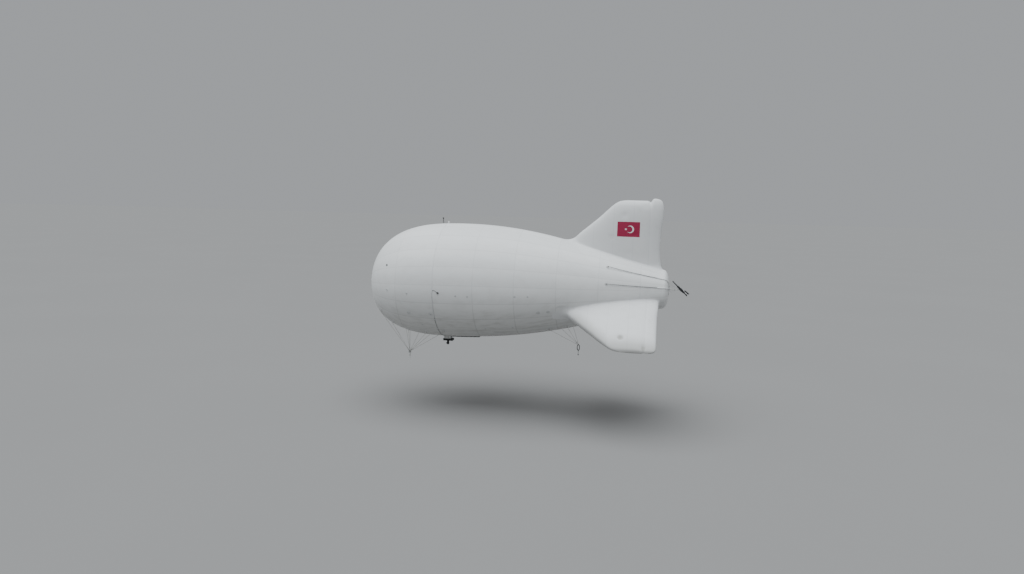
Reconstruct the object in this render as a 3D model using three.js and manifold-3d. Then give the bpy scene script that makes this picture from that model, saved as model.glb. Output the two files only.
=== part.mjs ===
import * as THREE from 'three';
import { mergeVertices } from 'three/addons/utils/BufferGeometryUtils.js';
import Module from 'manifold-3d';

// Tethered aerostat: a gas-filled hull with three air-filled fins, a tail
// antenna on a boom, a front bridle with a tether swivel, a rear handling
// bridle and a camera on a two-axis gimbal.
// Millimetres. +X runs aft, +Y to starboard, +Z up. The origin is the centre
// of buoyancy on the hull's axis. A station is a distance aft of the nose.

const wasm = await Module();
wasm.setup();

// Hull
const HULL_LENGTH = 20400;
const BUOYANCY_STATION = 8430;
const MAX_RADIUS = 3932;
const MAX_RADIUS_STATION = 5841;
const NOSE_EXPONENT = 2.595;
const BODY_FIRST_HANDLE = 5721;
const BODY_SECOND_STATION = 14743;
const BODY_SECOND_RADIUS = 2651;
const TAIL_RADIUS = 1289;
const TAIL_CAP_LENGTH = 395;
const TAIL_CAP_POWER = 0.6;
const AXIS_SQUARE = 158;
const AXIS_CUBE = 115;
const FABRIC = 10;
const HULL_FACETS = 40;
const NOSE_HOLE_RADIUS = 240;
const TAIL_HOLE_RADIUS = 330;
const GAP = 0.3;
const TOUCH = 0.5;

// Where the hull's profile is sampled, as shares of each of its three curves
const NOSE_STEPS = [0.004, 0.014, 0.035, 0.075, 0.135, 0.22, 0.34, 0.5, 0.73, 1];
const BODY_STEPS = [0.13, 0.26, 0.39, 0.51, 0.63, 0.75, 0.87, 1];
const CAP_STEPS = [26, 46, 62, 75];

// Fins: height above the hull's axis, leading and trailing station, thickness
const FIN_FOOT = [
  { height: 900, lead: 13350, trail: 19820, thick: 900 },
  { height: 2000, lead: 13350, trail: 19760, thick: 1000 },
  { height: 2600, lead: 13560, trail: 19725, thick: 1050 },
];
const UPPER_FIN = [
  ...FIN_FOOT,
  { height: 3000, lead: 14020, trail: 19735, thick: 1040 },
  { height: 3500, lead: 14460, trail: 19740, thick: 1010 },
  { height: 4100, lead: 15140, trail: 19785, thick: 960 },
  { height: 4700, lead: 15780, trail: 19850, thick: 890 },
  { height: 5150, lead: 16235, trail: 19860, thick: 790 },
  { height: 5480, lead: 16545, trail: 19820, thick: 650 },
  { height: 5700, lead: 16790, trail: 19740, thick: 480 },
  { height: 5850, lead: 17020, trail: 19600, thick: 310 },
  { height: 5920, lead: 17300, trail: 19380, thick: 140 },
];
const LOWER_FIN = [
  ...FIN_FOOT,
  { height: 3000, lead: 13960, trail: 19705, thick: 1040 },
  { height: 3500, lead: 14440, trail: 19700, thick: 1010 },
  { height: 4100, lead: 15050, trail: 19695, thick: 960 },
  { height: 4700, lead: 15700, trail: 19690, thick: 890 },
  { height: 5150, lead: 16165, trail: 19690, thick: 790 },
  { height: 5480, lead: 16540, trail: 19680, thick: 660 },
  { height: 5700, lead: 16800, trail: 19655, thick: 510 },
  { height: 5850, lead: 17040, trail: 19570, thick: 370 },
  { height: 5925, lead: 17300, trail: 19400, thick: 230 },
  { height: 5965, lead: 17480, trail: 19240, thick: 120 },
];
const FIN_FULLNESS = 0.7;
const FIN_RING_POINTS = 20;
const FINS = [
  { name: 'fin_upper', angle: 90, sections: UPPER_FIN },
  { name: 'fin_lower_port', angle: -35, sections: LOWER_FIN },
  { name: 'fin_lower_starboard', angle: 215, sections: LOWER_FIN },
];

// Fabric load patches
const PATCH_RADIUS = 130;
const PATCH_THICKNESS = 8;
const LUG_RADIUS = 32;
const LUG_HEIGHT = 60;

// Front bridle: where its lines start on the hull, port side; starboard mirrors
const FRONT_PATCHES = [
  { station: 1150, angle: -43 },
  { station: 1900, angle: -57 },
  { station: 3000, angle: -64 },
  { station: 4350, angle: -61 },
  { station: 5700, angle: -56 },
];
const FRONT_JOIN = { station: 2510, drop: -5360 };
const LINE_RADIUS = 8;
const KNOT_RADIUS = 22;
const COLLECTOR_RADIUS = 45;

// Tether attachment below the front bridle
const CONFLUENCE = { length: 220, width: 30, top: -5270, height: 200 };
const SWIVEL_RADIUS = 48;
const SWIVEL_UPPER_HEIGHT = 110;
const SWIVEL_GAP = 5;
const SWIVEL_LOWER_HEIGHT = 90;
const SPINDLE_RADIUS = 16;
const SPINDLE_BORE_RADIUS = 17;
const SPINDLE_LENGTH = 60;
const SOCKET_TOP_RADIUS = 26;
const SOCKET_FOOT_RADIUS = 42;
const SOCKET_HEIGHT = 150;

// Rear handling bridle, port side; starboard mirrors
const REAR_PATCHES = [
  { station: 12700, angle: -62 },
  { station: 13900, angle: -64 },
];
const REAR_JOIN = { station: 14580, drop: -4120 };
const REAR_KNOT_RADIUS = 30;
const REAR_RING = { radius: 190, bar: 26, narrow: 0.42 };
const REAR_PENDANT = { radius: 12, foot: -4790, knotRadius: 46 };

// Tail cords, port side; starboard mirrors. They end on the tail plate.
const TAIL_CORDS = [
  { name: 'upper', start: 16430, angle: 39.6, endAngle: 35 },
  { name: 'lower', start: 16410, angle: 9.8, endAngle: 8.6 },
];
const CORD_RADIUS = 14;
const CORD_PATCH_RADIUS = 90;
const CORD_END_LIFT = 34;
const CORD_END_RADIUS = 360;

// Plates that close the nose and the tail
const NOSE_PLATE = { radius: 300, thickness: 12 };
const TAIL_PLATE = { radius: 430, thickness: 14, hubRadius: 70, hubHeight: 60 };

// Tail antenna on its boom
const BOOM_RADIUS = 22;
const BAR_CENTRE = { station: 21210, height: -30 };
const BAR = { from: -800, to: 565, radius: 36, tilt: 44 };
const SHORT_BAR = { length: 380, radius: 40, along: 375, above: 147, tilt: 38, postRadius: 14, postSpan: 100 };
const BAR_HUB_RADIUS = 90;

// Payload on the belly
const PAD = { from: 5080, to: 5600, width: 500, bottom: -4205 };
const PLATE = { from: 5040, to: 5730, width: 460, height: 145 };
const PAN = { station: 5340, radius: 80, height: 36, gap: 5, armThickness: 22, armWidth: 90 };
const BALL = { radius: 100, drop: 215, armGap: 8, pinRadius: 13, pinBore: 14 };
const LENS = { radius: 42, length: 24 };

// Belly rail
const RAIL = { from: 5650, to: 7650, width: 110, depth: 115 };

// Side lights with their cables down to the payload, port side
const SIDE_LIGHT = { station: 5700, angle: -7.5, padRadius: 110, bodyRadius: 62, bodyHeight: 70 };
const CABLE_RADIUS = 14;
const CABLE_STATION = 5300;
const CABLE_ANGLES = [-9, -18, -27, -36, -45, -54, -63, -72, -81];

// Beacon mast and small dome on top
const MAST = { station: 4885, angle: 90, padRadius: 130, radius: 26, height: 330 };
const LAMP = { radius: 52, height: 90 };
const DOME = { station: 5255, angle: 90, padRadius: 110, radius: 70, height: 150 };

const WHITE = { color: 0xd9dcdc, roughness: 0.55, metalness: 0 };
const PATCH = { color: 0xbfc2c1, roughness: 0.7, metalness: 0 };
const PALE_LINE = { color: 0xc9c9c2, roughness: 0.8, metalness: 0 };
const DARK_LINE = { color: 0x2b2c30, roughness: 0.8, metalness: 0 };
const BLACK = { color: 0x1b1c1e, roughness: 0.5, metalness: 0.1 };
const FITTING = { color: 0xcfd1cf, roughness: 0.45, metalness: 0 };
const GLASS = { color: 0x101418, roughness: 0.15, metalness: 0.2 };

const root = new THREE.Group();

function addPart(name, geometry, look) {
  geometry.computeVertexNormals();
  const mesh = new THREE.Mesh(geometry, new THREE.MeshStandardMaterial(look));
  mesh.name = name;
  root.add(mesh);
  return mesh;
}

// Manifold solids from closed three.js geometry, and back

function signedVolume(positions, indices) {
  const a = new THREE.Vector3();
  const b = new THREE.Vector3();
  const c = new THREE.Vector3();
  let sum = 0;
  for (let i = 0; i < indices.length; i += 3) {
    a.fromArray(positions, 3 * indices[i]);
    b.fromArray(positions, 3 * indices[i + 1]);
    c.fromArray(positions, 3 * indices[i + 2]);
    sum += a.dot(b.cross(c));
  }
  return sum;
}

function solid(geometry) {
  const bare = geometry.clone();
  bare.deleteAttribute('normal');
  bare.deleteAttribute('uv');
  const merged = mergeVertices(bare, 1e-3);
  const positions = merged.attributes.position.array;
  const kept = [];
  const source = merged.index.array;
  for (let i = 0; i < source.length; i += 3) {
    const [p, q, r] = [source[i], source[i + 1], source[i + 2]];
    if (p !== q && q !== r && r !== p) {
      kept.push(p, q, r);
    }
  }
  if (signedVolume(positions, kept) < 0) {
    kept.reverse();
  }
  return new wasm.Manifold(new wasm.Mesh({
    numProp: 3,
    vertProperties: new Float32Array(positions),
    triVerts: new Uint32Array(kept),
  }));
}

function shape(manifold) {
  const mesh = manifold.getMesh();
  const geometry = new THREE.BufferGeometry();
  geometry.setAttribute('position', new THREE.BufferAttribute(new Float32Array(mesh.vertProperties), 3));
  geometry.setIndex(new THREE.BufferAttribute(new Uint32Array(mesh.triVerts), 1));
  return geometry;
}

function join(geometries) {
  return shape(geometries.map(solid).reduce((sum, next) => sum.add(next)));
}

function cut(geometry, tool) {
  return shape(solid(geometry).subtract(solid(tool)));
}

// Hull profile and surface

function axisHeight(station) {
  const u = (station - 10000) / 10000;
  const rest = (BUOYANCY_STATION - 10000) / 10000;
  const bend = -AXIS_SQUARE * u * u + AXIS_CUBE * u * u * u;
  const level = -AXIS_SQUARE * rest * rest + AXIS_CUBE * rest * rest * rest;
  return bend - level;
}

function noseStation(share) {
  return MAX_RADIUS_STATION * share;
}

function noseRadius(share) {
  return MAX_RADIUS * (1 - (1 - share) ** NOSE_EXPONENT) ** (1 / NOSE_EXPONENT);
}

function hullProfile() {
  const points = [];
  const holeShare = 1 - (1 - (NOSE_HOLE_RADIUS / MAX_RADIUS) ** NOSE_EXPONENT) ** (1 / NOSE_EXPONENT);
  points.push(new THREE.Vector2(NOSE_HOLE_RADIUS, noseStation(holeShare)));
  for (const share of NOSE_STEPS) {
    points.push(new THREE.Vector2(noseRadius(share), noseStation(share)));
  }
  const body = new THREE.CubicBezierCurve(
    new THREE.Vector2(MAX_RADIUS, MAX_RADIUS_STATION),
    new THREE.Vector2(MAX_RADIUS, MAX_RADIUS_STATION + BODY_FIRST_HANDLE),
    new THREE.Vector2(BODY_SECOND_RADIUS, BODY_SECOND_STATION),
    new THREE.Vector2(TAIL_RADIUS, HULL_LENGTH - TAIL_CAP_LENGTH),
  );
  for (const share of BODY_STEPS) {
    points.push(body.getPoint(share));
  }
  const holeAngle = Math.acos((TAIL_HOLE_RADIUS / TAIL_RADIUS) ** (1 / TAIL_CAP_POWER));
  for (const angle of [...CAP_STEPS.map(THREE.MathUtils.degToRad), holeAngle]) {
    const radius = TAIL_RADIUS * Math.cos(angle) ** TAIL_CAP_POWER;
    points.push(new THREE.Vector2(radius, HULL_LENGTH - TAIL_CAP_LENGTH * (1 - Math.sin(angle))));
  }
  return points;
}

function offsetProfile(points, distance) {
  return points.map((point, i) => {
    const before = points[Math.max(i - 1, 0)];
    const after = points[Math.min(i + 1, points.length - 1)];
    const along = after.clone().sub(before).normalize();
    return new THREE.Vector2(point.x + along.y * distance, point.y - along.x * distance);
  });
}

function bendToAxis(geometry) {
  const position = geometry.attributes.position;
  for (let i = 0; i < position.count; i += 1) {
    const station = position.getX(i);
    position.setXYZ(i, station - BUOYANCY_STATION, position.getY(i), position.getZ(i) + axisHeight(station));
  }
  return geometry;
}

function revolve(profile) {
  const geometry = new THREE.LatheGeometry(profile, HULL_FACETS);
  geometry.rotateZ(-Math.PI / 2);
  return bendToAxis(geometry);
}

const PROFILE = hullProfile();

function ringAt(index) {
  const { x: radius, y: station } = PROFILE[index];
  return { radius, station, height: axisHeight(station) };
}

function ridgePoint(ring, angle) {
  const a = THREE.MathUtils.degToRad(angle);
  return new THREE.Vector3(
    ring.station - BUOYANCY_STATION,
    -Math.cos(a) * ring.radius,
    ring.height + Math.sin(a) * ring.radius,
  );
}

// A point on the faceted hull with that facet's normal
function hullSeat(station, angle) {
  let index = 0;
  while (index < PROFILE.length - 2 && PROFILE[index + 1].y < station) {
    index += 1;
  }
  const fore = ringAt(index);
  const aft = ringAt(index + 1);
  const share = (station - fore.station) / (aft.station - fore.station);
  const step = 360 / HULL_FACETS;
  const low = Math.floor(angle / step + 1e-9) * step;
  const high = low + step;
  const a = ridgePoint(fore, low).lerp(ridgePoint(aft, low), share);
  const b = ridgePoint(fore, high).lerp(ridgePoint(aft, high), share);
  const across = b.clone().sub(a);
  const along = ridgePoint(aft, low).sub(ridgePoint(fore, low)).normalize();
  const outward = new THREE.Vector3().crossVectors(across, along).normalize();
  if (outward.dot(a.clone().sub(new THREE.Vector3(a.x, 0, fore.height))) < 0) {
    outward.negate();
  }
  const half = THREE.MathUtils.degToRad(step / 2);
  const off = THREE.MathUtils.degToRad(angle - low - step / 2);
  const t = 0.5 + Math.tan(off) / Math.tan(half) / 2;
  return { point: a.lerp(b, t), outward, along };
}

function hullPoint(station, angle, proud) {
  const seat = hullSeat(station, angle);
  return seat.point.addScaledVector(seat.outward, proud);
}

// Turns a geometry built along +Z so that it stands on the hull
function stand(geometry, station, angle, proud) {
  const seat = hullSeat(station, angle);
  const side = new THREE.Vector3().crossVectors(seat.outward, seat.along).normalize();
  const matrix = new THREE.Matrix4().makeBasis(seat.along, side, seat.outward);
  matrix.setPosition(seat.point.addScaledVector(seat.outward, proud));
  return geometry.applyMatrix4(matrix);
}

// Plain solids

function post(radius, height, base, sides = 16, footRadius = radius) {
  const geometry = new THREE.CylinderGeometry(radius, footRadius, height, sides);
  geometry.rotateX(Math.PI / 2);
  geometry.translate(0, 0, base + height / 2);
  return geometry;
}

function rod(from, to, radius, sides = 6) {
  const run = to.clone().sub(from);
  const geometry = new THREE.CylinderGeometry(radius, radius, run.length(), sides);
  geometry.translate(0, run.length() / 2, 0);
  const turn = new THREE.Quaternion().setFromUnitVectors(new THREE.Vector3(0, 1, 0), run.clone().normalize());
  geometry.applyQuaternion(turn);
  geometry.translate(from.x, from.y, from.z);
  return geometry;
}

function ball(centre, radius, sides = 8) {
  const geometry = new THREE.SphereGeometry(radius, sides, Math.round(sides * 0.7));
  geometry.translate(centre.x, centre.y, centre.z);
  return geometry;
}

function box(from, to) {
  const geometry = new THREE.BoxGeometry(to.x - from.x, to.y - from.y, to.z - from.z);
  geometry.translate((from.x + to.x) / 2, (from.y + to.y) / 2, (from.z + to.z) / 2);
  return geometry;
}

// A closed tube through the points, its rings mitred at each bend
function tube(points, radius, hint = new THREE.Vector3(0.31, 0.59, 0.74), sides = 6) {
  const vertices = [];
  const indices = [];
  const last = points.length - 1;
  let side = hint.clone();
  points.forEach((point, i) => {
    const before = points[Math.max(i - 1, 0)];
    const after = points[Math.min(i + 1, last)];
    const into = point.clone().sub(i > 0 ? before : after).normalize();
    const out = after.clone().sub(i < last ? point : before).normalize();
    if (i === 0) {
      into.negate();
    }
    const run = into.clone().add(out).normalize();
    side = side.clone().addScaledVector(run, -side.dot(run)).normalize();
    const up = new THREE.Vector3().crossVectors(run, side);
    for (let j = 0; j < sides; j += 1) {
      const turn = (2 * Math.PI * j) / sides;
      const corner = point.clone();
      corner.addScaledVector(side, Math.cos(turn) * radius);
      corner.addScaledVector(up, Math.sin(turn) * radius);
      vertices.push(corner.x, corner.y, corner.z);
    }
  });
  for (let i = 0; i < last; i += 1) {
    for (let j = 0; j < sides; j += 1) {
      const p = i * sides + j;
      const q = i * sides + ((j + 1) % sides);
      indices.push(p, q, q + sides, p, q + sides, p + sides);
    }
  }
  for (let j = 1; j < sides - 1; j += 1) {
    indices.push(0, j + 1, j);
    indices.push(last * sides, last * sides + j, last * sides + j + 1);
  }
  const geometry = new THREE.BufferGeometry();
  geometry.setAttribute('position', new THREE.Float32BufferAttribute(vertices, 3));
  geometry.setIndex(indices);
  return geometry;
}

function at(station, y, z) {
  return new THREE.Vector3(station - BUOYANCY_STATION, y, z);
}

const SIDES = [
  { name: 'port', mirror: (angle) => angle, y: -1 },
  { name: 'starboard', mirror: (angle) => 180 - angle, y: 1 },
];

// Envelope: one fabric skin, open at the nose and tail where plates close it

const inner = offsetProfile(PROFILE, -FABRIC);
inner[0].set(NOSE_HOLE_RADIUS, PROFILE[0].y + FABRIC);
inner[inner.length - 1].set(TAIL_HOLE_RADIUS, PROFILE[PROFILE.length - 1].y - FABRIC);
const skinLoop = [...PROFILE, ...inner.reverse(), PROFILE[0]];
addPart('envelope', shape(solid(revolve(skinLoop))), WHITE);

const noseFace = PROFILE[0].y - TOUCH;
const nosePlate = post(NOSE_PLATE.radius, NOSE_PLATE.thickness, 0, 32);
nosePlate.rotateY(-Math.PI / 2);
nosePlate.translate(noseFace - BUOYANCY_STATION, 0, axisHeight(0));
addPart('nose_plate', nosePlate, WHITE);

const tailFace = HULL_LENGTH + TOUCH;
const tailPlate = join([
  post(TAIL_PLATE.radius, TAIL_PLATE.thickness, 0, 32),
  post(TAIL_PLATE.hubRadius, TAIL_PLATE.hubHeight, TAIL_PLATE.thickness - 1, 20),
]);
tailPlate.rotateY(Math.PI / 2);
tailPlate.translate(tailFace - BUOYANCY_STATION, 0, axisHeight(HULL_LENGTH));
addPart('tail_plate', tailPlate, PATCH);

// Fins: lofted pillows with fabric walls, open where they meet the hull

function finRing(section, inset) {
  const lead = section.lead + inset * 1.4;
  const trail = section.trail - inset;
  const half = section.thick / 2 - inset;
  const ring = [];
  for (let i = 0; i < FIN_RING_POINTS; i += 1) {
    const turn = (2 * Math.PI * i) / FIN_RING_POINTS;
    const share = (1 - Math.cos(turn)) / 2;
    const side = Math.sign(Math.sin(turn)) * Math.abs(Math.sin(turn)) ** FIN_FULLNESS;
    ring.push({ station: lead + (trail - lead) * share, side: half * side });
  }
  return ring;
}

function finLoft(angle, sections, inset) {
  const a = THREE.MathUtils.degToRad(angle);
  const last = sections.length - 1;
  const vertices = [];
  const indices = [];
  sections.forEach((section, i) => {
    const height = section.height - (i === last ? inset : 0);
    for (const { station, side } of finRing(section, inset)) {
      vertices.push(
        station - BUOYANCY_STATION,
        -Math.cos(a) * height + Math.sin(a) * side,
        axisHeight(station) + Math.sin(a) * height + Math.cos(a) * side,
      );
    }
  });
  const n = FIN_RING_POINTS;
  for (let i = 0; i < last; i += 1) {
    for (let j = 0; j < n; j += 1) {
      const p = i * n + j;
      const q = i * n + ((j + 1) % n);
      indices.push(p, q, q + n, p, q + n, p + n);
    }
  }
  for (let j = 1; j < n - 1; j += 1) {
    indices.push(0, j + 1, j);
    indices.push(last * n, last * n + j, last * n + j + 1);
  }
  const geometry = new THREE.BufferGeometry();
  geometry.setAttribute('position', new THREE.Float32BufferAttribute(vertices, 3));
  geometry.setIndex(indices);
  return geometry;
}

const clearance = offsetProfile(PROFILE, GAP * 1.2);
const hullBlock = solid(revolve([
  new THREE.Vector2(0, clearance[0].y),
  ...clearance,
  new THREE.Vector2(0, clearance[clearance.length - 1].y),
]));
for (const { name, angle, sections } of FINS) {
  const skin = solid(finLoft(angle, sections, 0)).subtract(solid(finLoft(angle, sections, FABRIC)));
  addPart(name, shape(skin.subtract(hullBlock)), WHITE);
}

// Load patches: a round fabric pad with a lug for the line

function patch(station, angle, radius) {
  return stand(join([
    post(radius, PATCH_THICKNESS, 0, 20),
    post(LUG_RADIUS * 0.7, LUG_HEIGHT, PATCH_THICKNESS - 1, 10, LUG_RADIUS),
  ]), station, angle, GAP);
}

const LUG_TOP = GAP + PATCH_THICKNESS - 1 + LUG_HEIGHT;

for (const { name, mirror, y } of SIDES) {
  const reach = CONFLUENCE.width / 2 + GAP + COLLECTOR_RADIUS;
  const collector = at(FRONT_JOIN.station, y * reach, FRONT_JOIN.drop);
  const lines = [ball(collector, COLLECTOR_RADIUS, 12)];
  FRONT_PATCHES.forEach(({ station, angle }, i) => {
    addPart(`front_patch_${name}_${i + 1}`, patch(station, mirror(angle), PATCH_RADIUS), PATCH);
    const end = hullPoint(station, mirror(angle), LUG_TOP + GAP + KNOT_RADIUS);
    lines.push(ball(end, KNOT_RADIUS), rod(end, collector, LINE_RADIUS));
  });
  addPart(`front_bridle_${name}`, join(lines), PALE_LINE);
}

// Tether attachment: plate, two-part swivel and the socket that takes the tether

const swivelX = FRONT_JOIN.station - BUOYANCY_STATION;
const confluenceBottom = CONFLUENCE.top - CONFLUENCE.height;
addPart('confluence_plate', box(
  at(FRONT_JOIN.station - CONFLUENCE.length / 2, -CONFLUENCE.width / 2, confluenceBottom),
  at(FRONT_JOIN.station + CONFLUENCE.length / 2, CONFLUENCE.width / 2, CONFLUENCE.top),
), FITTING);

const upperBottom = confluenceBottom - GAP - SWIVEL_UPPER_HEIGHT;
const swivelUpper = cut(
  post(SWIVEL_RADIUS, SWIVEL_UPPER_HEIGHT, upperBottom, 24),
  post(SPINDLE_BORE_RADIUS, SPINDLE_LENGTH + 15, upperBottom - 5, 24),
);
swivelUpper.translate(swivelX, 0, 0);
addPart('tether_swivel_upper', swivelUpper, FITTING);

const lowerTop = upperBottom - SWIVEL_GAP;
const lowerBottom = lowerTop - SWIVEL_LOWER_HEIGHT;
const swivelLower = join([
  post(SWIVEL_RADIUS, SWIVEL_LOWER_HEIGHT, lowerBottom, 24),
  post(SPINDLE_RADIUS, SPINDLE_LENGTH, lowerTop - 1, 24),
]);
swivelLower.translate(swivelX, 0, 0);
addPart('tether_swivel_lower', swivelLower, FITTING);

const socketTop = lowerBottom - GAP;
const socket = post(SOCKET_TOP_RADIUS, SOCKET_HEIGHT, socketTop - SOCKET_HEIGHT, 24, SOCKET_FOOT_RADIUS);
socket.translate(swivelX, 0, 0);
addPart('tether_socket', socket, FITTING);

// Rear handling bridle: the lines meet on both sides of a soft ring

for (const { name, mirror, y } of SIDES) {
  const reach = REAR_RING.bar + GAP + REAR_KNOT_RADIUS;
  const collector = at(REAR_JOIN.station, y * reach, REAR_JOIN.drop);
  const lines = [ball(collector, REAR_KNOT_RADIUS)];
  REAR_PATCHES.forEach(({ station, angle }, i) => {
    addPart(`rear_patch_${name}_${i + 1}`, patch(station, mirror(angle), PATCH_RADIUS), PATCH);
    const end = hullPoint(station, mirror(angle), LUG_TOP + GAP + KNOT_RADIUS);
    lines.push(ball(end, KNOT_RADIUS), rod(end, collector, LINE_RADIUS));
  });
  addPart(`rear_bridle_${name}`, join(lines), PALE_LINE);
}

const rearX = REAR_JOIN.station - BUOYANCY_STATION;
const rearRing = new THREE.TorusGeometry(REAR_RING.radius, REAR_RING.bar, 8, 24);
rearRing.rotateX(Math.PI / 2);
rearRing.scale(REAR_RING.narrow, 1, 1);
rearRing.translate(rearX, 0, REAR_JOIN.drop - REAR_RING.radius);
addPart('rear_ring', shape(solid(rearRing)), DARK_LINE);

const ringBottom = REAR_JOIN.drop - 2 * REAR_RING.radius - REAR_RING.bar;
const pendantTop = ringBottom - GAP - REAR_PENDANT.radius * 2;
const pendant = join([
  post(REAR_PENDANT.radius * 2, REAR_PENDANT.radius * 2, pendantTop, 10),
  post(REAR_PENDANT.radius, pendantTop - REAR_PENDANT.foot + 1, REAR_PENDANT.foot, 8),
  ball(new THREE.Vector3(0, 0, REAR_PENDANT.foot - REAR_PENDANT.knotRadius / 2), REAR_PENDANT.knotRadius, 10),
]);
pendant.translate(rearX, 0, 0);
addPart('rear_pendant', pendant, DARK_LINE);

// Tail cords along the hull to the tail plate

const plateBack = tailFace + TAIL_PLATE.thickness;
const lastBody = PROFILE.length - 1 - CAP_STEPS.length - 1;
for (const { name: side, mirror } of SIDES) {
  for (const { name, start, angle, endAngle } of TAIL_CORDS) {
    addPart(`tail_patch_${side}_${name}`, patch(start, mirror(angle), CORD_PATCH_RADIUS), PATCH);
    const points = [hullPoint(start, mirror(angle), LUG_TOP + GAP + CORD_RADIUS * 1.6)];
    for (let i = lastBody; i < PROFILE.length - 1; i += 1) {
      points.push(hullPoint(PROFILE[i].y - 1, mirror(endAngle), CORD_END_LIFT));
    }
    const a = THREE.MathUtils.degToRad(mirror(endAngle));
    points.push(at(
      plateBack + GAP + CORD_RADIUS * 1.6,
      -Math.cos(a) * CORD_END_RADIUS,
      axisHeight(HULL_LENGTH) + Math.sin(a) * CORD_END_RADIUS,
    ));
    const ends = [ball(points[0], CORD_RADIUS * 1.6), ball(points[points.length - 1], CORD_RADIUS * 1.6)];
    addPart(`tail_cord_${side}_${name}`, join([tube(points, CORD_RADIUS), ...ends]), DARK_LINE);
  }
}

// Tail boom with its antenna bar

const boomFoot = at(plateBack + TAIL_PLATE.hubHeight - 1 + GAP + BOOM_RADIUS, 0, axisHeight(HULL_LENGTH));
const barCentre = at(BAR_CENTRE.station, 0, BAR_CENTRE.height);
const barTilt = THREE.MathUtils.degToRad(BAR.tilt);
const barRun = new THREE.Vector3(Math.cos(barTilt), 0, -Math.sin(barTilt));
const boomTop = barCentre.clone().lerp(boomFoot, (BAR_HUB_RADIUS + GAP * 2) / barCentre.distanceTo(boomFoot));
addPart('tail_boom', join([
  ball(boomFoot, BOOM_RADIUS, 12),
  rod(boomFoot, boomTop, BOOM_RADIUS, 10),
]), PALE_LINE);
const shortTilt = THREE.MathUtils.degToRad(SHORT_BAR.tilt);
const shortRun = new THREE.Vector3(Math.cos(shortTilt), 0, -Math.sin(shortTilt));
const shortMiddle = barCentre.clone()
  .addScaledVector(barRun, SHORT_BAR.along)
  .add(new THREE.Vector3(Math.sin(barTilt), 0, Math.cos(barTilt)).multiplyScalar(SHORT_BAR.above));
const posts = [-SHORT_BAR.postSpan, SHORT_BAR.postSpan].map((place) => rod(
  barCentre.clone().addScaledVector(barRun, SHORT_BAR.along + place),
  shortMiddle.clone().addScaledVector(shortRun, place),
  SHORT_BAR.postRadius,
  8,
));
addPart('tail_antenna', join([
  ball(barCentre, BAR_HUB_RADIUS, 14),
  rod(
    barCentre.clone().addScaledVector(barRun, BAR.from),
    barCentre.clone().addScaledVector(barRun, BAR.to),
    BAR.radius,
    10,
  ),
  rod(
    shortMiddle.clone().addScaledVector(shortRun, -SHORT_BAR.length / 2),
    shortMiddle.clone().addScaledVector(shortRun, SHORT_BAR.length / 2),
    SHORT_BAR.radius,
    8,
  ),
  ...posts,
]), BLACK);

// Payload: pad, equipment plate, pan head and camera ball

function bellyHeight(station) {
  return hullSeat(station, -90).point.z;
}

const padTop = Math.min(bellyHeight(PAD.from), bellyHeight(PAD.to)) - GAP;
addPart('payload_pad', box(
  at(PAD.from, -PAD.width / 2, PAD.bottom),
  at(PAD.to, PAD.width / 2, padTop),
), WHITE);

const plateTop = PAD.bottom - GAP;
const plateBottom = plateTop - PLATE.height;
const panX = PAN.station - BUOYANCY_STATION;
const panBore = post(SPINDLE_BORE_RADIUS, 50, plateBottom - 5, 24);
panBore.translate(panX, 0, 0);
addPart('payload_plate', cut(box(
  at(PLATE.from, -PLATE.width / 2, plateBottom),
  at(PLATE.to, PLATE.width / 2, plateTop),
), panBore), BLACK);

const panTop = plateBottom - PAN.gap;
const ballZ = plateBottom - BALL.drop;
const armInner = BALL.radius + BALL.armGap;
const armOuter = armInner + PAN.armThickness;
const arms = [-1, 1].map((side) => {
  const edges = [side * armInner, side * armOuter].sort((p, q) => p - q);
  return box(
    new THREE.Vector3(-PAN.armWidth / 2, edges[0], ballZ - PAN.armWidth / 2),
    new THREE.Vector3(PAN.armWidth / 2, edges[1], panTop - PAN.height / 2),
  );
});
const crossBar = box(
  new THREE.Vector3(-PAN.armWidth / 2, -armOuter, panTop - PAN.height),
  new THREE.Vector3(PAN.armWidth / 2, armOuter, panTop - 1),
);
const yokeBody = join([
  post(PAN.radius, PAN.height, panTop - PAN.height, 24),
  post(SPINDLE_RADIUS, 42, panTop - 1, 24),
  crossBar,
  ...arms,
]);
const pinBores = post(BALL.pinBore, armOuter * 2 + 20, -armOuter - 10, 24);
pinBores.rotateX(Math.PI / 2);
pinBores.translate(0, 0, ballZ);
const yoke = cut(yokeBody, pinBores);
yoke.translate(panX, 0, 0);
addPart('gimbal_yoke', yoke, BLACK);

const pins = post(BALL.pinRadius, armOuter * 2, -armOuter, 24);
pins.rotateX(Math.PI / 2);
const lens = post(LENS.radius, BALL.radius + LENS.length, 0, 24);
lens.rotateY(-Math.PI / 2);
const cameraBall = join([new THREE.SphereGeometry(BALL.radius, 20, 12), pins, lens]);
cameraBall.translate(panX, 0, ballZ);
addPart('camera_ball', cameraBall, GLASS);

// Belly rail, following the hull from the payload aft

const railStations = [
  RAIL.from,
  ...PROFILE.map((point) => point.y).filter((station) => station > RAIL.from && station < RAIL.to),
  RAIL.to,
];
const railShape = new THREE.Shape();
railStations.forEach((station, i) => {
  const height = bellyHeight(station) - GAP;
  if (i === 0) {
    railShape.moveTo(station - BUOYANCY_STATION, height);
  } else {
    railShape.lineTo(station - BUOYANCY_STATION, height);
  }
});
[...railStations].reverse().forEach((station) => {
  railShape.lineTo(station - BUOYANCY_STATION, bellyHeight(station) - RAIL.depth);
});
const rail = new THREE.ExtrudeGeometry(railShape, { depth: RAIL.width, bevelEnabled: false });
rail.rotateX(Math.PI / 2);
rail.translate(0, RAIL.width / 2, 0);
addPart('belly_rail', shape(solid(rail)), BLACK);

// Side lights and their cables

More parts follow.
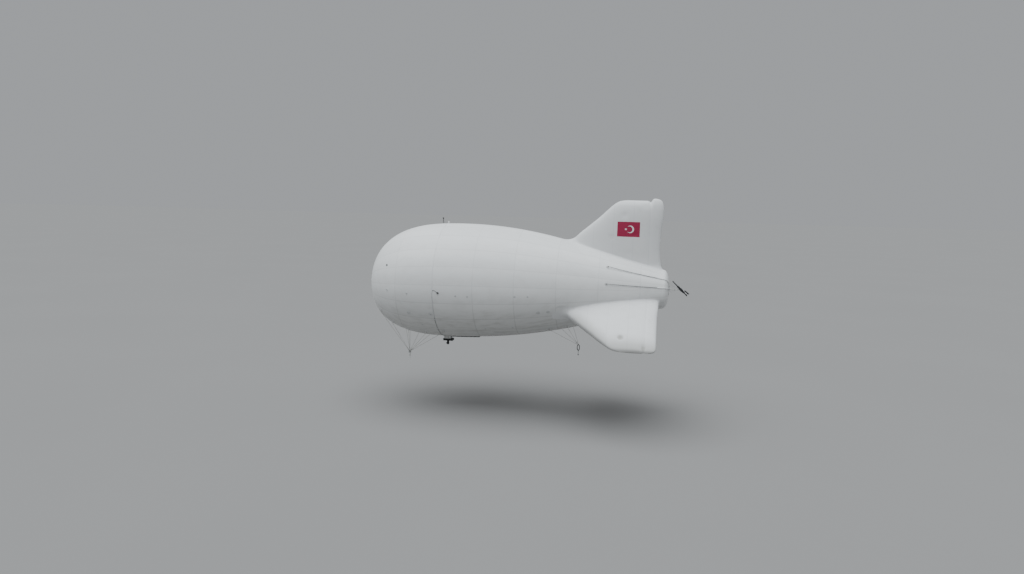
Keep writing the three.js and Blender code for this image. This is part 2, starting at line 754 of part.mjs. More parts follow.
for (const { name, mirror } of SIDES) {
  const angle = mirror(SIDE_LIGHT.angle);
  addPart(`side_light_${name}`, stand(join([
    post(SIDE_LIGHT.padRadius, PATCH_THICKNESS, 0, 20),
    post(SIDE_LIGHT.bodyRadius, SIDE_LIGHT.bodyHeight, PATCH_THICKNESS - 1, 16),
  ]), SIDE_LIGHT.station, angle, GAP), BLACK);
  const lift = CABLE_RADIUS + GAP;
  const points = CABLE_ANGLES.map((step) => hullPoint(CABLE_STATION, mirror(step), lift));
  const outward = hullSeat(CABLE_STATION, mirror(CABLE_ANGLES[0])).outward;
  addPart(`light_cable_${name}`, shape(solid(tube(points, CABLE_RADIUS, outward))), DARK_LINE);
}

// Beacon mast and dome on the top

addPart('beacon_mast', stand(join([
  post(MAST.padRadius, PATCH_THICKNESS, 0, 20),
  post(MAST.radius, MAST.height, PATCH_THICKNESS - 1, 12),
]), MAST.station, MAST.angle, GAP), BLACK);
const mastTop = GAP + PATCH_THICKNESS - 1 + MAST.height;
addPart('beacon_lamp', stand(
  post(LAMP.radius, LAMP.height, 0, 16),
  MAST.station,
  MAST.angle,
  mastTop + GAP,
), BLACK);
addPart('top_dome', stand(join([
  post(DOME.padRadius, PATCH_THICKNESS, 0, 20),
  post(DOME.radius, DOME.height, PATCH_THICKNESS - 1, 16),
]), DOME.station, DOME.angle, GAP), WHITE);

export default root;
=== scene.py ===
import math

import bmesh
import bpy
from mathutils import Matrix, Vector


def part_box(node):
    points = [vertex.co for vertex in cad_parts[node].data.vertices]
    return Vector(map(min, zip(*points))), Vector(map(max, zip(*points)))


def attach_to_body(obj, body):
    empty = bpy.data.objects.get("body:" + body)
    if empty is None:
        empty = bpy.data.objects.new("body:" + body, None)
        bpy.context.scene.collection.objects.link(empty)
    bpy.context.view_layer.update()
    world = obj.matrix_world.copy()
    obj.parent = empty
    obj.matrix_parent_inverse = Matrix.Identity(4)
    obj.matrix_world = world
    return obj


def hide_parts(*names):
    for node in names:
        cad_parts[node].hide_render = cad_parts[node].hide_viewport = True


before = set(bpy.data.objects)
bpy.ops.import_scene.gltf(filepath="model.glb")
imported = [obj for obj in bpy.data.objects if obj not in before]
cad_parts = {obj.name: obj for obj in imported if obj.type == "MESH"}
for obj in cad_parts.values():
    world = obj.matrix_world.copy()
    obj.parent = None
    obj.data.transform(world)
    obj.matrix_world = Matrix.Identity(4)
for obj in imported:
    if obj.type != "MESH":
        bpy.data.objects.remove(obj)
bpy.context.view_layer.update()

# Camera
# The aerostat is seen from its port side, a little from behind and above, from 47 m away. It has no free
# cords: its lines and cables are all held at both ends.
camera = bpy.data.objects.new("camera", bpy.data.cameras.new("camera"))
bpy.context.scene.collection.objects.link(camera)
camera.data.lens = 24.61
camera.data.sensor_width = 36.0
camera.data.clip_start = 0.5
camera.data.clip_end = 2000.0
camera.matrix_world = Matrix((
    (0.98125, -0.0459, 0.18721, 10.473),
    (0.19101, 0.10126, -0.97635, -47.208),
    (0.02586, 0.9938, 0.10813, 4.865),
    (0.0, 0.0, 0.0, 1.0),
))
bpy.context.scene.camera = camera

# Envelope
# The gas-tight hull is sewn up from twenty gores of coated white laminate, joined edge to edge under
# heat-sealed tapes, with a ring seam every 2.65 m. Pressure rounds each gore a little between its tapes.
NOSE = -8.43
HULL_LENGTH = 20.4
HULL_RADIUS = 3.932
WIDEST = 5.841
NOSE_POWER = 2.595
BODY_HANDLES = ((5.841, 3.932), (11.562, 3.932), (14.743, 2.651), (20.005, 1.289))
TAIL_RADIUS = 1.289
TAIL_CAP = 0.395
CAP_POWER = 0.6
GORES = 20
GORE_SWELL = 0.0028
RING_SEAM = 5.32
RING_PITCH = 2.65


def droop(station):
    u = (station - 10.0) / 10.0
    return u * u * (u * 0.115 - 0.158)


def axis_height(station):
    """Height of the hull's slightly drooping axis, for a number or for a material's value."""
    return droop(station) - droop(-NOSE)


def on_body(share):
    """Station and radius on the long curve from the widest ring to the tail cap."""
    weights = ((1 - share) ** 3, 3 * share * (1 - share) ** 2, 3 * share * share * (1 - share), share**3)
    station = sum(w * point[0] for w, point in zip(weights, BODY_HANDLES))
    return station, sum(w * point[1] for w, point in zip(weights, BODY_HANDLES))


def halve(low, high, rounds, below):
    """Narrows a span by halves down to where the test stops to hold."""
    for _ in range(rounds):
        middle = (low + high) / 2
        if below(middle):
            low = middle
        else:
            high = middle
    return low


def hull_radius(station):
    """Radius of the hull at a station."""
    if station <= WIDEST:
        share = max(station, 0.0) / WIDEST
        return HULL_RADIUS * (1 - (1 - share) ** NOSE_POWER) ** (1 / NOSE_POWER)
    cap_start = HULL_LENGTH - TAIL_CAP
    if station >= cap_start:
        rise = min((station - cap_start) / TAIL_CAP, 1.0)
        return TAIL_RADIUS * math.cos(math.asin(rise)) ** CAP_POWER
    return on_body(halve(0.0, 1.0, 40, lambda share: on_body(share)[0] < station))[1]


def hull_point(station, angle, proud=0.0):
    """A point on the hull, angle in degrees up from the port side, and its frame: aft, sideways, outward."""
    turn = math.radians(angle)

    def at(s, a):
        radius = hull_radius(s)
        return Vector((s + NOSE, -math.cos(a) * radius, axis_height(s) + math.sin(a) * radius))

    aft = (at(station + 0.01, turn) - at(station - 0.01, turn)).normalized()
    round_it = (at(station, turn + 0.01) - at(station, turn - 0.01)).normalized()
    outward = round_it.cross(aft).normalized()
    if outward.dot(Vector((0.0, -math.cos(turn), math.sin(turn)))) < 0:
        outward.negate()
    place = Matrix((aft, outward.cross(aft), outward)).transposed().to_4x4()
    place.translation = at(station, turn) + outward * proud
    return place


def begin(add, name, **size):
    """Adds one primitive with nothing else selected, and names it."""
    if bpy.context.mode != "OBJECT":
        bpy.ops.object.mode_set(mode="OBJECT")
    bpy.ops.object.select_all(action="DESELECT")
    add(**size)
    bpy.context.scene.tool_settings.mesh_select_mode = (True, False, False)
    piece = bpy.context.object
    piece.name = name
    piece.data.name = name
    return piece


def heal(doubles=None, smooth=None):
    """Merges doubles and turns the faces outwards, in edit mode, and smooths up to an angle."""
    bpy.ops.object.mode_set(mode="EDIT")
    bpy.ops.mesh.select_all(action="SELECT")
    if doubles:
        bpy.ops.mesh.remove_doubles(threshold=doubles)
    bpy.ops.mesh.normals_make_consistent(inside=False)
    bpy.ops.object.mode_set(mode="OBJECT")
    if smooth:
        bpy.ops.object.shade_smooth_by_angle(angle=math.radians(smooth))


def lathe(name, profile, steps, smooth, axis=(0, 0, 1)):
    """Turns a profile of (radius, height) points round an axis, as on a lathe, and closes it at the poles."""
    piece = begin(bpy.ops.mesh.primitive_plane_add, name, size=0.001)
    across = Vector((1, 0, 0)) if axis[2] else Vector((0, 0, 1))
    points = [across * radius + Vector(axis) * height for radius, height in profile]
    bpy.ops.object.mode_set(mode="EDIT")
    bpy.ops.mesh.merge(type="CENTER")
    bpy.ops.transform.translate(value=points[0])
    for before, after in zip(points, points[1:]):
        bpy.ops.mesh.extrude_region_move(TRANSFORM_OT_translate={"value": after - before})
    bpy.ops.mesh.select_all(action="SELECT")
    bpy.ops.mesh.spin(steps=steps, angle=2 * math.pi, center=(0, 0, 0), axis=axis)
    heal(0.00002, smooth)
    return piece


def painted(piece, material):
    """Gives a piece one finish all over."""
    piece.data.materials.clear()
    piece.data.materials.append(material)
    return piece


def attach(piece, slot, *nodes, body="aerostat"):
    """Lets a piece ride on its body and hides the solids it stands for. The slot is not used."""
    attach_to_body(piece, body)
    if nodes:
        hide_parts(*nodes)


class Value:
    """A socket of a material's nodes, for use in formulas."""

    def __init__(self, tree, socket=None):
        self.tree = tree
        self.socket = socket

    def node(self, kind, settings, sockets, output=0):
        """Adds a node with its settings, and values or links for its sockets."""
        made = self.tree.nodes.new("ShaderNode" + kind)
        for name, value in settings.items():
            if name == "stops":
                while len(made.color_ramp.elements) < len(value):
                    made.color_ramp.elements.new(0.5)
                for element, (position, colour) in zip(made.color_ramp.elements, value):
                    element.position = position
                    element.color = colour
            else:
                setattr(made, name, value)
        for name, value in sockets.items():
            if isinstance(value, Value):
                self.tree.links.new(value.socket, made.inputs[name])
            else:
                made.inputs[name].default_value = value
        return Value(self.tree, made.outputs[output])

    def math(self, operation, *values):
        return self.node("Math", {"operation": operation}, dict(enumerate(values)))

    def __add__(self, other):
        return self.math("ADD", self, other)

    __radd__ = __add__

    def __sub__(self, other):
        return self.math("SUBTRACT", self, other)

    def __rsub__(self, other):
        return self.math("SUBTRACT", other, self)

    def __mul__(self, other):
        return self.math("MULTIPLY", self, other)

    __rmul__ = __mul__

    def __truediv__(self, other):
        return self.math("DIVIDE", self, other)


def make_material(name, fixed, pattern):
    """Fixed numbers and colours go on the shader's own sockets. Pattern gives what varies over the piece."""
    material = bpy.data.materials.new(name)
    material.use_nodes = True
    shader = material.node_tree.nodes["Principled BSDF"]
    for socket, value in fixed.items():
        shader.inputs[socket].default_value = value
    for socket, value in pattern(Value(material.node_tree)).items():
        material.node_tree.links.new(value.socket, shader.inputs[socket])
    return material


def coordinates(start):
    """Object coordinates, as a vector and as three numbers."""
    point = start.node("TexCoord", {}, {}, "Object")
    return [point] + [start.node("SeparateXYZ", {}, {0: point}, axis) for axis in "XYZ"]


def noise(start, point, scale, detail=3.0, roughness=0.55):
    sockets = {"Vector": point, "Scale": scale, "Detail": detail, "Roughness": roughness}
    return start.node("TexNoise", {}, sockets)


def step(start, value, low, high):
    """Rises smoothly from 0 at low to 1 at high."""
    sockets = {"Value": value, "From Min": low, "From Max": high}
    return start.node("MapRange", {"interpolation_type": "SMOOTHSTEP"}, sockets)


def blend(start, share, colour, other):
    return start.node("Mix", {"data_type": "RGBA"}, {0: share, 6: colour, 7: other}, 2)


def bump(start, height, strength):
    return start.node("Bump", {}, {"Height": height, "Distance": 1.0, "Strength": strength})


def seam_distance(start, run, pitch):
    """Distance to the nearest seam, from a run counted in pitches, and the number of the panel."""
    share = start.math("FRACT", run)
    return start.math("MINIMUM", share, 1 - share) * pitch


def laminate(start, point, colour, edge, tape, pull, stretch, lift):
    """Coated laminate of this colour, with proud tapes, and puckers where the seams pull it."""
    stretched = start.node("Mapping", {}, {"Vector": point, "Scale": stretch})
    pucker = (1 - step(start, edge, *pull)) * noise(start, stretched, 1.0, 2.0)
    height = tape * 0.0008 + pucker * lift + noise(start, point, 260.0, 1.0) * 0.0002
    return {
        "Base Color": colour,
        "Roughness": 0.42 + 0.16 * noise(start, point, 3.0) + tape * 0.08,
        "Normal": bump(start, height, 0.6),
    }


def hull_pattern(start):
    point, x, y, z = coordinates(start)
    station = x - NOSE
    up = z - axis_height(station)
    radius = start.math("SQRT", y * y + up * up)
    gore = start.math("ARCTAN2", up, y) * (GORES / (2 * math.pi)) + GORES
    gore_edge = seam_distance(start, gore, radius * (2 * math.pi / GORES))
    ring = (station - RING_SEAM) / RING_PITCH + 10.0
    edge = start.math("MINIMUM", gore_edge, seam_distance(start, ring, RING_PITCH))
    tape = 1 - step(start, edge, 0.030, 0.033)
    tape_rim = tape * step(start, edge, 0.022, 0.030)
    stitch = 1 - step(start, edge, 0.0, 0.012)
    panel = start.node("CombineXYZ", {}, {"X": start.math("FLOOR", gore), "Y": start.math("FLOOR", ring)})
    tint = start.node("TexWhiteNoise", {"noise_dimensions": "2D"}, {"Vector": panel}, "Value")
    cloud = noise(start, point, 0.35, 4.0)
    streaks = start.node("Mapping", {}, {"Vector": point, "Scale": (0.5, 2.4, 0.8)})
    below = step(start, up / HULL_RADIUS, 0.1, -1.0)
    dirt = step(start, noise(start, streaks, 2.2, 5.0, 0.6), 0.40, 0.80) * (below * 0.28 + 0.1)
    # This mark mixes dirt with painted shade. The noise streaks are dirt. The belly term, below * (0.46 +
    # below * 0.06), is painted shade that darkens the hull towards the bottom. Tapes and stitches also darken
    # towards the bottom.
    darkening = dirt + below * (0.46 + below * 0.06) + tape_rim * 0.1 + stitch * (below * 0.3 + 0.05)
    clean = blend(start, tint * 0.5 + cloud * 0.5, (0.73, 0.74, 0.74, 1), (0.81, 0.815, 0.81, 1))
    taped = blend(start, tape * (below * 0.35 + 0.18), clean, (0.52, 0.53, 0.53, 1))
    # One greyish-brown tone serves both the dirt and the painted belly shade.
    colour = blend(start, start.math("MINIMUM", darkening, 0.8), taped, (0.40, 0.395, 0.37, 1))
    return laminate(start, point, colour, edge, tape, (0.03, 0.30), (7.0, 2.0, 2.0), 0.004)


LAMINATE_GLOSS = {"Sheen Weight": 0.05, "Specular IOR Level": 0.35}
hull_laminate = make_material("hull_laminate", LAMINATE_GLOSS, hull_pattern)

profile = [(hull_radius(WIDEST * (i / 30) ** 2.2), WIDEST * (i / 30) ** 2.2) for i in range(31)]
profile += [tuple(reversed(on_body(i / 34))) for i in range(1, 35)]
for i in range(1, 13):
    turn = math.radians(90 * i / 12)
    profile.append((TAIL_RADIUS * math.cos(turn) ** CAP_POWER, HULL_LENGTH - TAIL_CAP * (1 - math.sin(turn))))
envelope = lathe("hull_skin", profile, GORES * 10, 60.0, (1, 0, 0))
for corner in envelope.data.vertices:
    station, y, z = corner.co
    share = (math.atan2(z, y) / (2 * math.pi) * GORES) % 1.0
    swell = 1 + GORE_SWELL * (1 - (2 * share - 1) ** 2) - 0.0012 if math.hypot(y, z) > 0.5 else 1.0
    corner.co = (station + NOSE, y * swell, z * swell + axis_height(station))
attach(painted(envelope, hull_laminate), "hull_fabric", "envelope")

# Fins
# Three air-filled fins of the same laminate stand on the hull, one upright and two drooping 35 degrees. Each
# is a pillow with a separate roll along its trailing edge, drawn in where the inner tie lines pull.
FIN_ROOT = 0.90
FIN_FOOT = (
    # height over the hull's axis, leading and trailing station, thickness
    (0.90, 13.350, 19.820, 0.900), (2.00, 13.350, 19.760, 1.000), (2.60, 13.560, 19.725, 1.050),
)
UPPER_FIN = FIN_FOOT + (
    (3.00, 13.930, 19.735, 1.040), (3.50, 14.400, 19.740, 1.010), (4.10, 15.095, 19.785, 0.960),
    (4.70, 15.780, 19.855, 0.890), (5.15, 16.235, 19.865, 0.780), (5.48, 16.545, 19.830, 0.640),
    (5.70, 16.780, 19.760, 0.470), (5.85, 17.000, 19.630, 0.300), (5.92, 17.260, 19.430, 0.150),
    (5.94, 17.500, 19.270, 0.000),
)
LOWER_FIN = FIN_FOOT + (
    (3.00, 13.960, 19.705, 1.040), (3.50, 14.440, 19.700, 1.010), (4.10, 15.050, 19.695, 0.960),
    (4.70, 15.700, 19.690, 0.890), (5.15, 16.165, 19.690, 0.780), (5.48, 16.540, 19.685, 0.650),
    (5.70, 16.800, 19.665, 0.500), (5.85, 17.040, 19.590, 0.360), (5.93, 17.300, 19.430, 0.220),
    (5.98, 17.560, 19.180, 0.000),
)
FINS = (("fin_upper", 90.0), ("fin_lower_port", -35.0), ("fin_lower_starboard", 215.0))
ROLL_LINE = 18.99
TIE_REACH = 0.19
UPPER_TIES = (
    # station, height, depth as a share of the thickness
    (17.37, 4.81, 0.06), (18.70, 5.50, 0.05), (18.05, 3.55, 0.05), (16.60, 3.35, 0.05), (17.75, 2.35, 0.04),
    (15.30, 2.30, 0.04),
)
LOWER_TIES = ((17.52, 5.12, 0.16), (18.93, 5.76, 0.16)) + UPPER_TIES[2:]


def fin_section(angle, height):
    """Leading station, trailing station and thickness at a height, eased between the table's rows."""
    table = UPPER_FIN if angle == 90.0 else LOWER_FIN
    row = 0
    while row < len(table) - 2 and table[row + 1][0] < height:
        row += 1
    rows = [table[max(0, min(row + i, len(table) - 1))] for i in (-1, 0, 1, 2)]
    span = rows[2][0] - rows[1][0]
    t = (height - rows[1][0]) / span
    cubes = (2 * t**3 - 3 * t * t + 1, t**3 - 2 * t * t + t, 3 * t * t - 2 * t**3, t**3 - t * t)
    values = []
    for column in (1, 2, 3):
        slopes = []
        for near, here, far in (rows[:3], rows[1:]):
            spans = [(a, b) for a, b in ((near, here), (here, far)) if a is not b]
            rises = [(b[column] - a[column]) / (b[0] - a[0]) for a, b in spans]
            back, ahead = rises[0], rises[-1]
            slopes.append(2 * back * ahead / (back + ahead) if back * ahead > 0 else 0.0)
        values.append(cubes[0] * rows[1][column] + cubes[1] * slopes[0] * span
                      + cubes[2] * rows[2][column] + cubes[3] * slopes[1] * span)
    return values


def ramp(value, low, high):
    """Rises evenly from 0 at low to 1 at high, for numbers."""
    return min(1.0, max(0.0, (value - low) / (high - low)))


def fin_point(angle, turn, height):
    """Station, distance off the fin's middle plane, and height of a point on the fin's skin."""
    upright = angle == 90.0
    lead, trail, thick = fin_section(angle, height)
    station = lead + (trail - lead) * (1 - math.cos(turn)) / 2
    side = math.copysign(abs(math.sin(turn)) ** 0.7, math.sin(turn)) * max(thick, 0.0) / 2
    near_tip = ramp(height, 4.9, 5.9) ** 2
    over_roll = math.exp(-((station - ROLL_LINE) / 0.10) ** 2)
    drawn = over_roll * (0.04 + 0.10 * near_tip) * ramp(height, 1.2, 2.7)
    for tie_station, tie_height, depth in UPPER_TIES if upright else LOWER_TIES:
        reach = (station - tie_station) ** 2 + (height - tie_height) ** 2
        drawn += depth * math.exp(-reach / TIE_REACH**2)
    ahead = 1 / (1 + math.exp((station - ROLL_LINE - 0.11) / 0.04))
    sunk = near_tip * ((0.15 if upright else 0.0) * ahead + (0.10 if upright else 0.05) * over_roll)
    return station, side * (1 - drawn), height - sunk


def fin_place(angle, station, side, height):
    """Where a fin's own station, side and height lie in the frame."""
    turn = math.radians(angle)
    y = -math.cos(turn) * height + math.sin(turn) * side
    return Vector((station + NOSE, y, axis_height(station) + math.sin(turn) * height + math.cos(turn) * side))


def fin_skin(angle, station, height, proud):
    """A point on a fin's skin, on the side that proud's sign names."""
    lead, trail, _ = fin_section(angle, height)
    turn = math.acos(1 - 2 * (station - lead) / (trail - lead))
    side = fin_point(angle, math.copysign(turn, proud), height)[1] + proud
    return fin_place(angle, station, side, height)


def sheet(name, columns, rows, shape):
    """A grid of cells. Shape puts each corner in place, from its -1 to 1 both ways."""
    piece = begin(bpy.ops.mesh.primitive_grid_add, name, x_subdivisions=columns, y_subdivisions=rows, size=2)
    for corner in piece.data.vertices:
        corner.co = shape(corner.co.x, corner.co.y)
    return piece


def fin_pattern(start):
    point, x, y, _ = coordinates(start)
    station = x - NOSE
    roll = start.math("ABSOLUTE", station - ROLL_LINE)
    panel_edge = seam_distance(start, (station - 14.05) / 1.30 + 10.0, 1.30)
    edge = start.math("MINIMUM", roll, start.math("MAXIMUM", panel_edge, (station - 18.8) * 10.0))
    tape = 1 - step(start, edge, 0.024, 0.027)
    # The dark fin tone below gathers random stains, the painted shade in the tie dimples and at the lower
    # fins' tips, and a darkening at the lower fins' leading-edge roots.
    stain_and_shade = step(start, noise(start, point, 1.7, 5.0, 0.6), 0.55, 0.8) * 0.16
    # Painted shade: dark spots round the two outer tie points, on both faces of each lower fin, where the
    # ties draw the skin in.
    for angle, proud in ((-35.0, -0.001), (-35.0, 0.001), (215.0, -0.001), (215.0, 0.001)):
        for tie_station, tie_height, _ in LOWER_TIES[:2]:
            middle = fin_skin(angle, tie_station, tie_height, proud)
            reach = start.node("VectorMath", {"operation": "DISTANCE"}, {0: point, 1: middle}, "Value")
            dimple_shade = 1 - step(start, reach + noise(start, point, 9.0) * 0.08, 0.10, 0.36)
            stain_and_shade = start.math("MAXIMUM", stain_and_shade, dimple_shade * 0.9)
    out = start.math("ABSOLUTE", y)
    # Painted shade: the lower fins grow darker towards their tips, where the rounded skin turns to face down.
    painted_tip_shade = step(start, out, 4.10, 4.95) * 0.62
    # Darker along the lower fins' leading edges near their roots.
    low_front = 1 - step(start, station - out * 1.27 + noise(start, point, 2.5) * 0.3, 10.85, 11.75)
    low_front = low_front * step(start, out, 2.5, 3.1) * step(start, station, 12.0, 13.0) * 0.5
    stain_and_shade = start.math("MAXIMUM", stain_and_shade, start.math("MAXIMUM", painted_tip_shade, low_front))
    clean = blend(start, noise(start, point, 0.6, 4.0), (0.68, 0.69, 0.695, 1), (0.755, 0.76, 0.76, 1))
    taped = blend(start, tape * 0.3, clean, (0.58, 0.59, 0.60, 1))
    colour = blend(start, stain_and_shade, taped, (0.36, 0.355, 0.33, 1))
    return laminate(start, point, colour, edge, tape, (0.02, 0.35), (1.5, 6.0, 6.0), 0.006)


fin_laminate = make_material("fin_laminate", LAMINATE_GLOSS, fin_pattern)

for name, angle in FINS:
    rise = (UPPER_FIN if angle == 90.0 else LOWER_FIN)[-1][0] - FIN_ROOT
    fin = sheet(name + "_skin", 144, 96, lambda x, y: fin_place(angle, *fin_point(
        angle, math.pi * (x + 1), FIN_ROOT + rise * (1 - (1 - (y + 1) / 2) ** 1.5))))
    heal(0.0005)
    bpy.ops.object.mode_set(mode="EDIT")
    bpy.ops.mesh.select_all(action="DESELECT")
    bpy.ops.mesh.select_non_manifold(extend=False)
    bpy.ops.mesh.edge_face_add()
    heal(None, 60)
    attach(painted(fin, fin_laminate), "hull_fabric", name)

# Flag
# A printed red flag with a white crescent and star is bonded on both sides of the upper fin.
FLAG_MIDDLE = (17.635, 3.89)
FLAG_HALF = (0.735, 0.49)
FLAG_LINE = 3.893
CRESCENT = 17.745
STAR = 17.460
STAR_RADIUS = 0.100


def flag_pattern(start):
    point, x, _, z = coordinates(start)
    station = x - NOSE
    up = z - axis_height(station) - FLAG_LINE
    across = station - CRESCENT
    outer = start.math("SQRT", across * across + up * up)
    inner = start.math("SQRT", (across + 0.061) * (across + 0.061) + up * up)
    crescent = (1 - step(start, outer, 0.243, 0.247)) * step(start, inner, 0.198, 0.202)
    aft = station - STAR
    reach = start.math("SQRT", aft * aft + up * up)
    turn = start.math("ARCTAN2", up, aft) / math.radians(72) + 5.5
    sector = start.math("ABSOLUTE", start.math("FRACT", turn) - 0.5) * math.radians(72)
    notch_x = 0.382 * STAR_RADIUS * math.cos(math.radians(36))
    notch_y = 0.382 * STAR_RADIUS * math.sin(math.radians(36))
    along = reach * start.math("COSINE", sector)
    off = reach * start.math("SINE", sector)
    star = step(start, (notch_x - STAR_RADIUS) * off - notch_y * (along - STAR_RADIUS), 0.0, 0.0002)
    white = start.math("MAXIMUM", crescent, star)
    red = blend(start, noise(start, point, 4.0), (0.285, 0.013, 0.052, 1), (0.34, 0.02, 0.066, 1))
    return {
        "Base Color": blend(start, white, red, (0.72, 0.73, 0.73, 1)),
        "Roughness": 0.45 + 0.15 * noise(start, point, 6.0),
        "Normal": bump(start, noise(start, point, 240.0, 1.0) * 0.0002, 0.5),
    }


flag_print = make_material("flag_print", {"Specular IOR Level": 0.35}, flag_pattern)


def give_wall(piece, thickness, offset=-1.0):
    """Gives a sheet its thickness."""
    wall = piece.modifiers.new("wall", "SOLIDIFY")
    wall.thickness = thickness
    wall.offset = offset
    bpy.ops.object.modifier_apply(modifier="wall")


for side, proud in (("port", -0.004), ("starboard", 0.004)):
    flag = sheet("flag_" + side, 60, 40, lambda x, y: fin_skin(
        90.0, FLAG_MIDDLE[0] + FLAG_HALF[0] * x, FLAG_MIDDLE[1] + FLAG_HALF[1] * y, proud))
    if side == "starboard":
        flag.data.flip_normals()
    give_wall(flag, 0.003)
    attach(painted(flag, flag_print), "hull_fabric")

# Root fairings of the fins
# A collar of hull laminate covers the joint between each fin and the hull. It runs out to a long toe ahead
# of the fin and rises behind it.
ROOT_TAPE = 0.11
TAPE_STEPS = 160
JOINT_TOP = 4.2


def coat(name, fixed, tones, layers, rough=None, grain=None, dusty=0.0, pits=0.0):
    """A finish of one tone or two soft ones, with wear or dust over them in patches, and a fine grain."""
    def pattern(start):
        point = start.node("TexCoord", {}, {}, "Object")
        colour = blend(start, noise(start, point, *tones[2:]), *tones[:2]) if tones[1:] else tones[0]
        masks = []
        for cloud, edges, share, tone in layers:
            masks.append(step(start, noise(start, point, *cloud), *edges))
            colour = blend(start, masks[-1] * share, colour, tone)
        look = {"Base Color": colour}
        if rough:
            look["Roughness"] = rough[0]
            if rough[1:]:
                look["Roughness"] += rough[1] * noise(start, point, rough[2])
            if dusty:
                look["Roughness"] += dusty * masks[0]
        if grain:
            *cloud, depth, strength = grain
            height = noise(start, point, *cloud)
            look["Normal"] = bump(start, (height - masks[-1] if pits else height) * depth, strength)
        return look

    return make_material(name, fixed, pattern)


patch_laminate = coat(
    "patch_laminate", {"Sheen Weight": 0.1, "Specular IOR Level": 0.3},
    ((0.55, 0.565, 0.57, 1), (0.64, 0.65, 0.655, 1), 1.3),
    [((5.0, 5.0, 0.65), (0.5, 0.75), 0.3, (0.36, 0.355, 0.34, 1))],
    (0.5, 0.2, 9.0), (300.0, 1.0, 0.0003, 0.6))


def off_hull(place):
    """How far a point in the frame is outside the hull."""
    station = place.x - NOSE
    return math.hypot(place.y, place.z - axis_height(station)) - hull_radius(station)


for name, angle in FINS:
    toe_rise, toe_reach, heel_rise, heel_reach = (0.04, 0.75, 0.0, 0.0)
    if angle == 90.0:
        toe_rise, toe_reach, heel_rise, heel_reach = (0.32, 0.55, 0.65, 0.12)
    ring = []
    for i in range(TAPE_STEPS):
        turn = 2 * math.pi * i / TAPE_STEPS
        low = halve(FIN_ROOT, JOINT_TOP, 24, lambda height: off_hull(
            fin_place(angle, *fin_point(angle, turn, height))) < 0.0)
        toe = max(0.0, math.cos(turn)) ** 12
        heel = max(0.0, -math.cos(turn)) ** 12
        root = fin_place(angle, *fin_point(angle, turn, low))
        inner = fin_place(angle, *fin_point(angle, turn, low + ROOT_TAPE + toe_rise * toe + heel_rise * heel))
        outward = (root - Vector((root.x, 0.0, axis_height(root.x - NOSE)))).normalized()
        ahead = fin_place(angle, *fin_point(angle, turn + 0.02, low)) - root
        away = ahead.cross(outward).normalized()
        if away.dot(root - fin_place(angle, sum(fin_section(angle, low)[:2]) / 2, 0.0, low)) < 0:
            away.negate()
        outer = root + away * (ROOT_TAPE + toe_reach * toe + heel_reach * heel)
        outer -= (outer - Vector((outer.x, 0.0, axis_height(outer.x - NOSE)))).normalized() * off_hull(outer)
        ring.append((outer + outward * 0.003, root + (outward + away) * 0.006, inner + away * 0.004, outward))

    def over_joint(x, y):
        outer, root, inner, outward = ring[round((x + 1) * TAPE_STEPS / 2) % TAPE_STEPS]
        share = (y + 1) / 2
        place = outer * (1 - share) ** 2 + root * (2 * share * (1 - share)) + inner * share**2
        return place + outward * max(0.0, 0.004 - off_hull(place))

    tape = sheet(name + "_root_fairing", TAPE_STEPS, 12, over_joint)
    heal(0.0005)
    give_wall(tape, 0.003)
    bpy.ops.object.shade_smooth_by_angle(angle=math.radians(50))
    attach(painted(tape, fin_laminate), "hull_fabric")

# Load patches
# Round doublers of laminate are bonded on the hull where lines pull. Each carries a webbing strap that is
# sewn down on both sides and holds a steel ring in its loop.
LIFT = 0.0675
HOOK = LIFT + 0.024
PATCH_RADIUS = 0.130
JOIN_X = 2.51 + NOSE
REAR_X = 14.58 + NOSE
REAR_JOIN = (REAR_X, 0.056, -4.12)
PATCHES = {
    # the point the lines run to, then each patch's station and angle
    "front": ((JOIN_X, 0.060, -5.36), (1.150, -43.0), (1.900, -57.0), (3.000, -64.0), (4.350, -61.0),
              (5.700, -56.0)),
    "rear": (REAR_JOIN, (12.700, -62.0), (13.900, -64.0)),
}
CORD_STARTS = (("upper", 16.430, 39.6, 35.0), ("lower", 16.410, 9.8, 8.6))
SIDES = (("port", lambda angle: angle, -1), ("starboard", lambda angle: 180.0 - angle, 1))


def web_pattern(start):
    point, x, y, z = coordinates(start)
    rib = start.math("SINE", (x + y * 0.7 + z) * 900.0) * 0.5 + 0.5
    base = blend(start, noise(start, point, 30.0), (0.46, 0.46, 0.43, 1), (0.56, 0.56, 0.53, 1))
    return {
        "Base Color": blend(start, rib * 0.3, base, (0.33, 0.33, 0.31, 1)),
        "Roughness": 0.65 + 0.2 * noise(start, point, 40.0),
        "Normal": bump(start, rib * 0.0004, 0.7),
    }


webbing = make_material("webbing", {"Sheen Weight": 0.3}, web_pattern)


def steel_pattern(start):
    point = start.node("TexCoord", {}, {}, "Object")
    lines = start.node("Mapping", {}, {"Vector": point, "Scale": (60.0, 60.0, 900.0)})
    brushed = noise(start, lines, 1.0, 2.0)
    grime = step(start, noise(start, point, 18.0, 4.0), 0.5, 0.8)
    base = blend(start, noise(start, point, 25.0), (0.34, 0.35, 0.355, 1), (0.46, 0.465, 0.46, 1))
    return {
        "Base Color": blend(start, grime * 0.4, base, (0.12, 0.115, 0.10, 1)),
        "Roughness": 0.3 + 0.2 * brushed + 0.2 * grime,
        "Normal": bump(start, brushed * 0.00008, 0.4),
    }


steel = make_material("brushed_steel", {"Metallic": 1.0}, steel_pattern)


def moved(*place):
    return Matrix.Translation(place)


def turned(degrees, axis):
    return Matrix.Rotation(math.radians(degrees), 4, axis)


